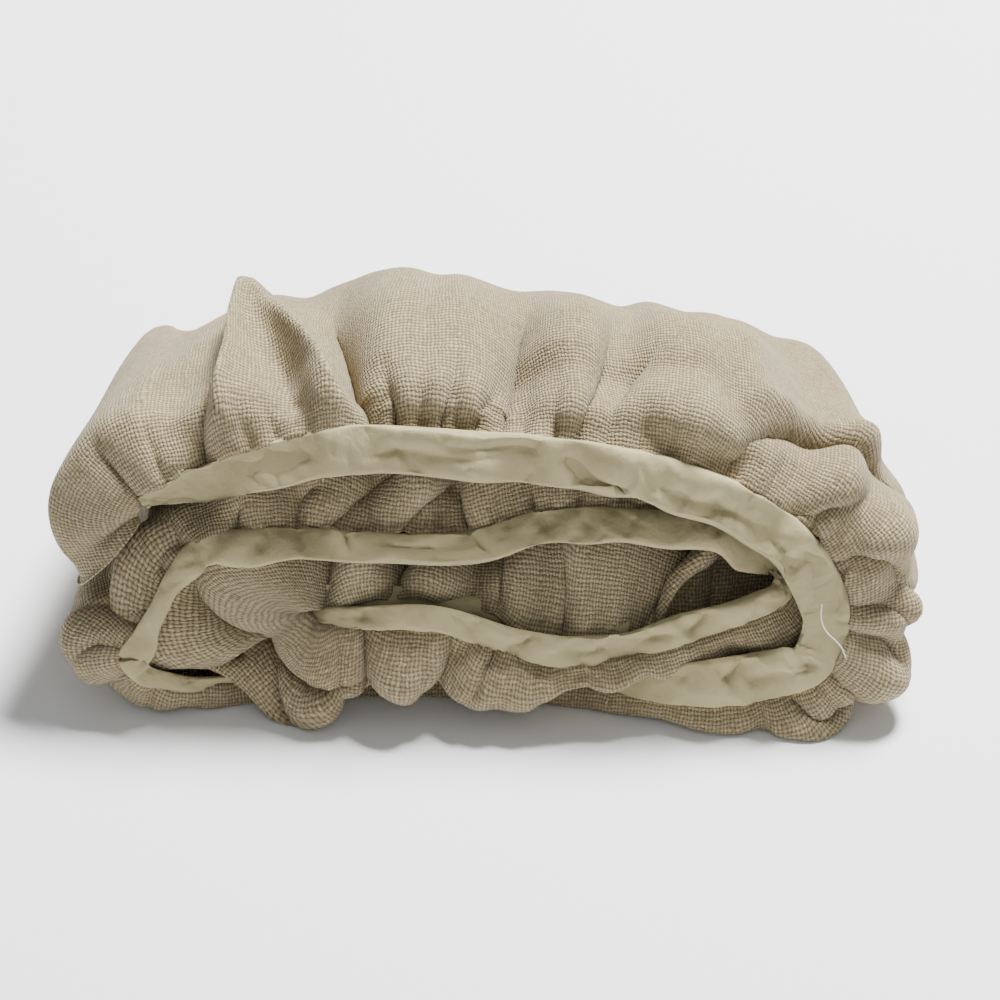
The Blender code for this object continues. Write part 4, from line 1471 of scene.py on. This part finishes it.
def cotton():
    """Material of the plain cotton."""
    made, tree, shader = new_material("plain_cotton_weave", {
        "Roughness": 0.85, "Specular IOR Level": 0.3, "Sheen Weight": 0.1,
    })
    flat, threads = woven(tree, COTTON_PITCH, waver=0.06, slub=0.3)
    # the gaps of the weave are painted darker, as painted shade, and a noise clouds the tone at random
    tone = calc(tree, "ADD", calc(tree, "MULTIPLY", threads["Gap"], COTTON_GAP_SHADE),
                noise(tree, flat, *COTTON_CLOUD))
    tone = calc(tree, "SUBTRACT", tone, COTTON_LOSS, clamp=True)
    feed(tree, shader.inputs["Base Color"], mix_colour(tree, tone, COTTON_LIGHT, COTTON_DARK))
    small = calc(tree, "MULTIPLY", noise(tree, flat, *COTTON_SMALL), SMALL_HEIGHT)
    broad = calc(tree, "MULTIPLY", noise(tree, flat, *COTTON_BROAD), BROAD_HEIGHT)
    high = calc(tree, "ADD", calc(tree, "ADD", small, broad),
                calc(tree, "MULTIPLY", threads["Height"], THREAD_HEIGHT))
    raise_surface(tree, shader, high, CLOTH_THICKNESS, strength=0.6)
    return made


band.data.materials.append(cotton())
print("the band is", band.data.materials[0].name)

# %% [markdown]
# ### White sewing thread
#
# The loose end is a twisted thread, smoother and whiter than all the cloth round it. A
# fine slanting ripple stands for the twist, and its troughs are painted darker, as
# painted shade.

# %% Thread for the loose end
# painted shade: the darker colour is that of the twist's troughs
THREAD_WHITE, THREAD_SHADE = (0.86, 0.85, 0.80), (0.72, 0.70, 0.64)
TWIST_DEPTH = 0.1 * MM


def sewing_thread():
    """Material of the white sewing thread."""
    made, tree, shader = new_material("white_sewing_thread", {"Roughness": 0.5})
    spot = node(tree, "ShaderNodeTexCoord", {}).outputs["Object"]
    ripple = node(tree, "ShaderNodeTexWave", {"Vector": spot, "Scale": 700.0, "Distortion": 1.5,
                                              "Detail": 1.0}, bands_direction="DIAGONAL")
    twist = ripple.outputs["Fac"]
    feed(tree, shader.inputs["Base Color"], mix_colour(tree, twist, THREAD_SHADE, THREAD_WHITE))
    raise_surface(tree, shader, twist, TWIST_DEPTH, strength=0.5)
    return made


thread_curve.materials.append(sewing_thread())
print("the loose end is", thread_curve.materials[0].name)

# %% [markdown]
# ## Floor and light
#
# A plain pale floor and soft light from above keep the attention on the cloth. One lamp
# overhead, to the right and behind, rounds the puffs and lets the shadow fall to the
# front and left. The sky fills in the rest, so that the inner turns stay dark but can
# still be read, and a faint lamp in front lifts them a little.

# %% Lay the floor
FLOOR_SIZE = 6.0
FLOOR_DROP = 0.4 * MM            # just under the cloth, so that the two never flicker
FLOOR_COLOUR = (0.92, 0.92, 0.92)
FLOOR_CLOUD = 0.99

bpy.ops.mesh.primitive_plane_add(size=FLOOR_SIZE, location=(0, 0, 0))
floor = bpy.context.object
floor.name = "pale_floor"
floor.location.z = -FLOOR_DROP


def plain_floor():
    """Material of the floor: plain, with the slightest cloudiness."""
    made, tree, shader = new_material("pale_floor", {"Roughness": 0.9, "Specular IOR Level": 0.1})
    spot = node(tree, "ShaderNodeTexCoord", {}).outputs["Object"]
    dull = tuple(FLOOR_CLOUD * value for value in FLOOR_COLOUR)
    colour = mix_colour(tree, noise(tree, spot, 3.0, 2.0, 0.5), FLOOR_COLOUR, dull)
    feed(tree, shader.inputs["Base Color"], colour)
    return made


floor.data.materials.append(plain_floor())
print(f"a floor {FLOOR_SIZE:.0f} m across")

# %% Add the lights
Lamp = namedtuple("Lamp", "name place size energy")
LAMPS = [
    Lamp("overhead", (0.8, 1.1, 2.8), 0.8, 380.0),
    Lamp("front_fill", (0.6, -2.6, 2.0), 1.6, 6.0),
]
SKY_COLOUR = (0.93, 0.96, 1.0, 1.0)
SKY_STRENGTH = 0.37

for lamp in LAMPS:
    bpy.ops.object.light_add(type="AREA", location=lamp.place)
    light = bpy.context.object
    light.name = lamp.name
    light.data.size = lamp.size
    light.data.energy = lamp.energy
    light.rotation_euler = (-Vector(lamp.place)).to_track_quat("-Z", "Y").to_euler()

world = bpy.data.worlds.new("soft_sky")
world.use_nodes = True
sky = world.node_tree.nodes["Background"]
sky.inputs["Color"].default_value = SKY_COLOUR
sky.inputs["Strength"].default_value = SKY_STRENGTH
bpy.context.scene.world = world
print("lights:", ", ".join(lamp.name for lamp in LAMPS))

# %% [markdown]
# ## Handing over
#
# Each piece rides on the one body and stands for its solid, which is hidden.

for piece, solid, slot in ((skirt, "skirt", "coarse_linen"), (band, "band", "plain_cotton")):
    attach(piece, "root")
    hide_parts(solid)
print("declared:", skirt.name, band.name, thread_end.name)
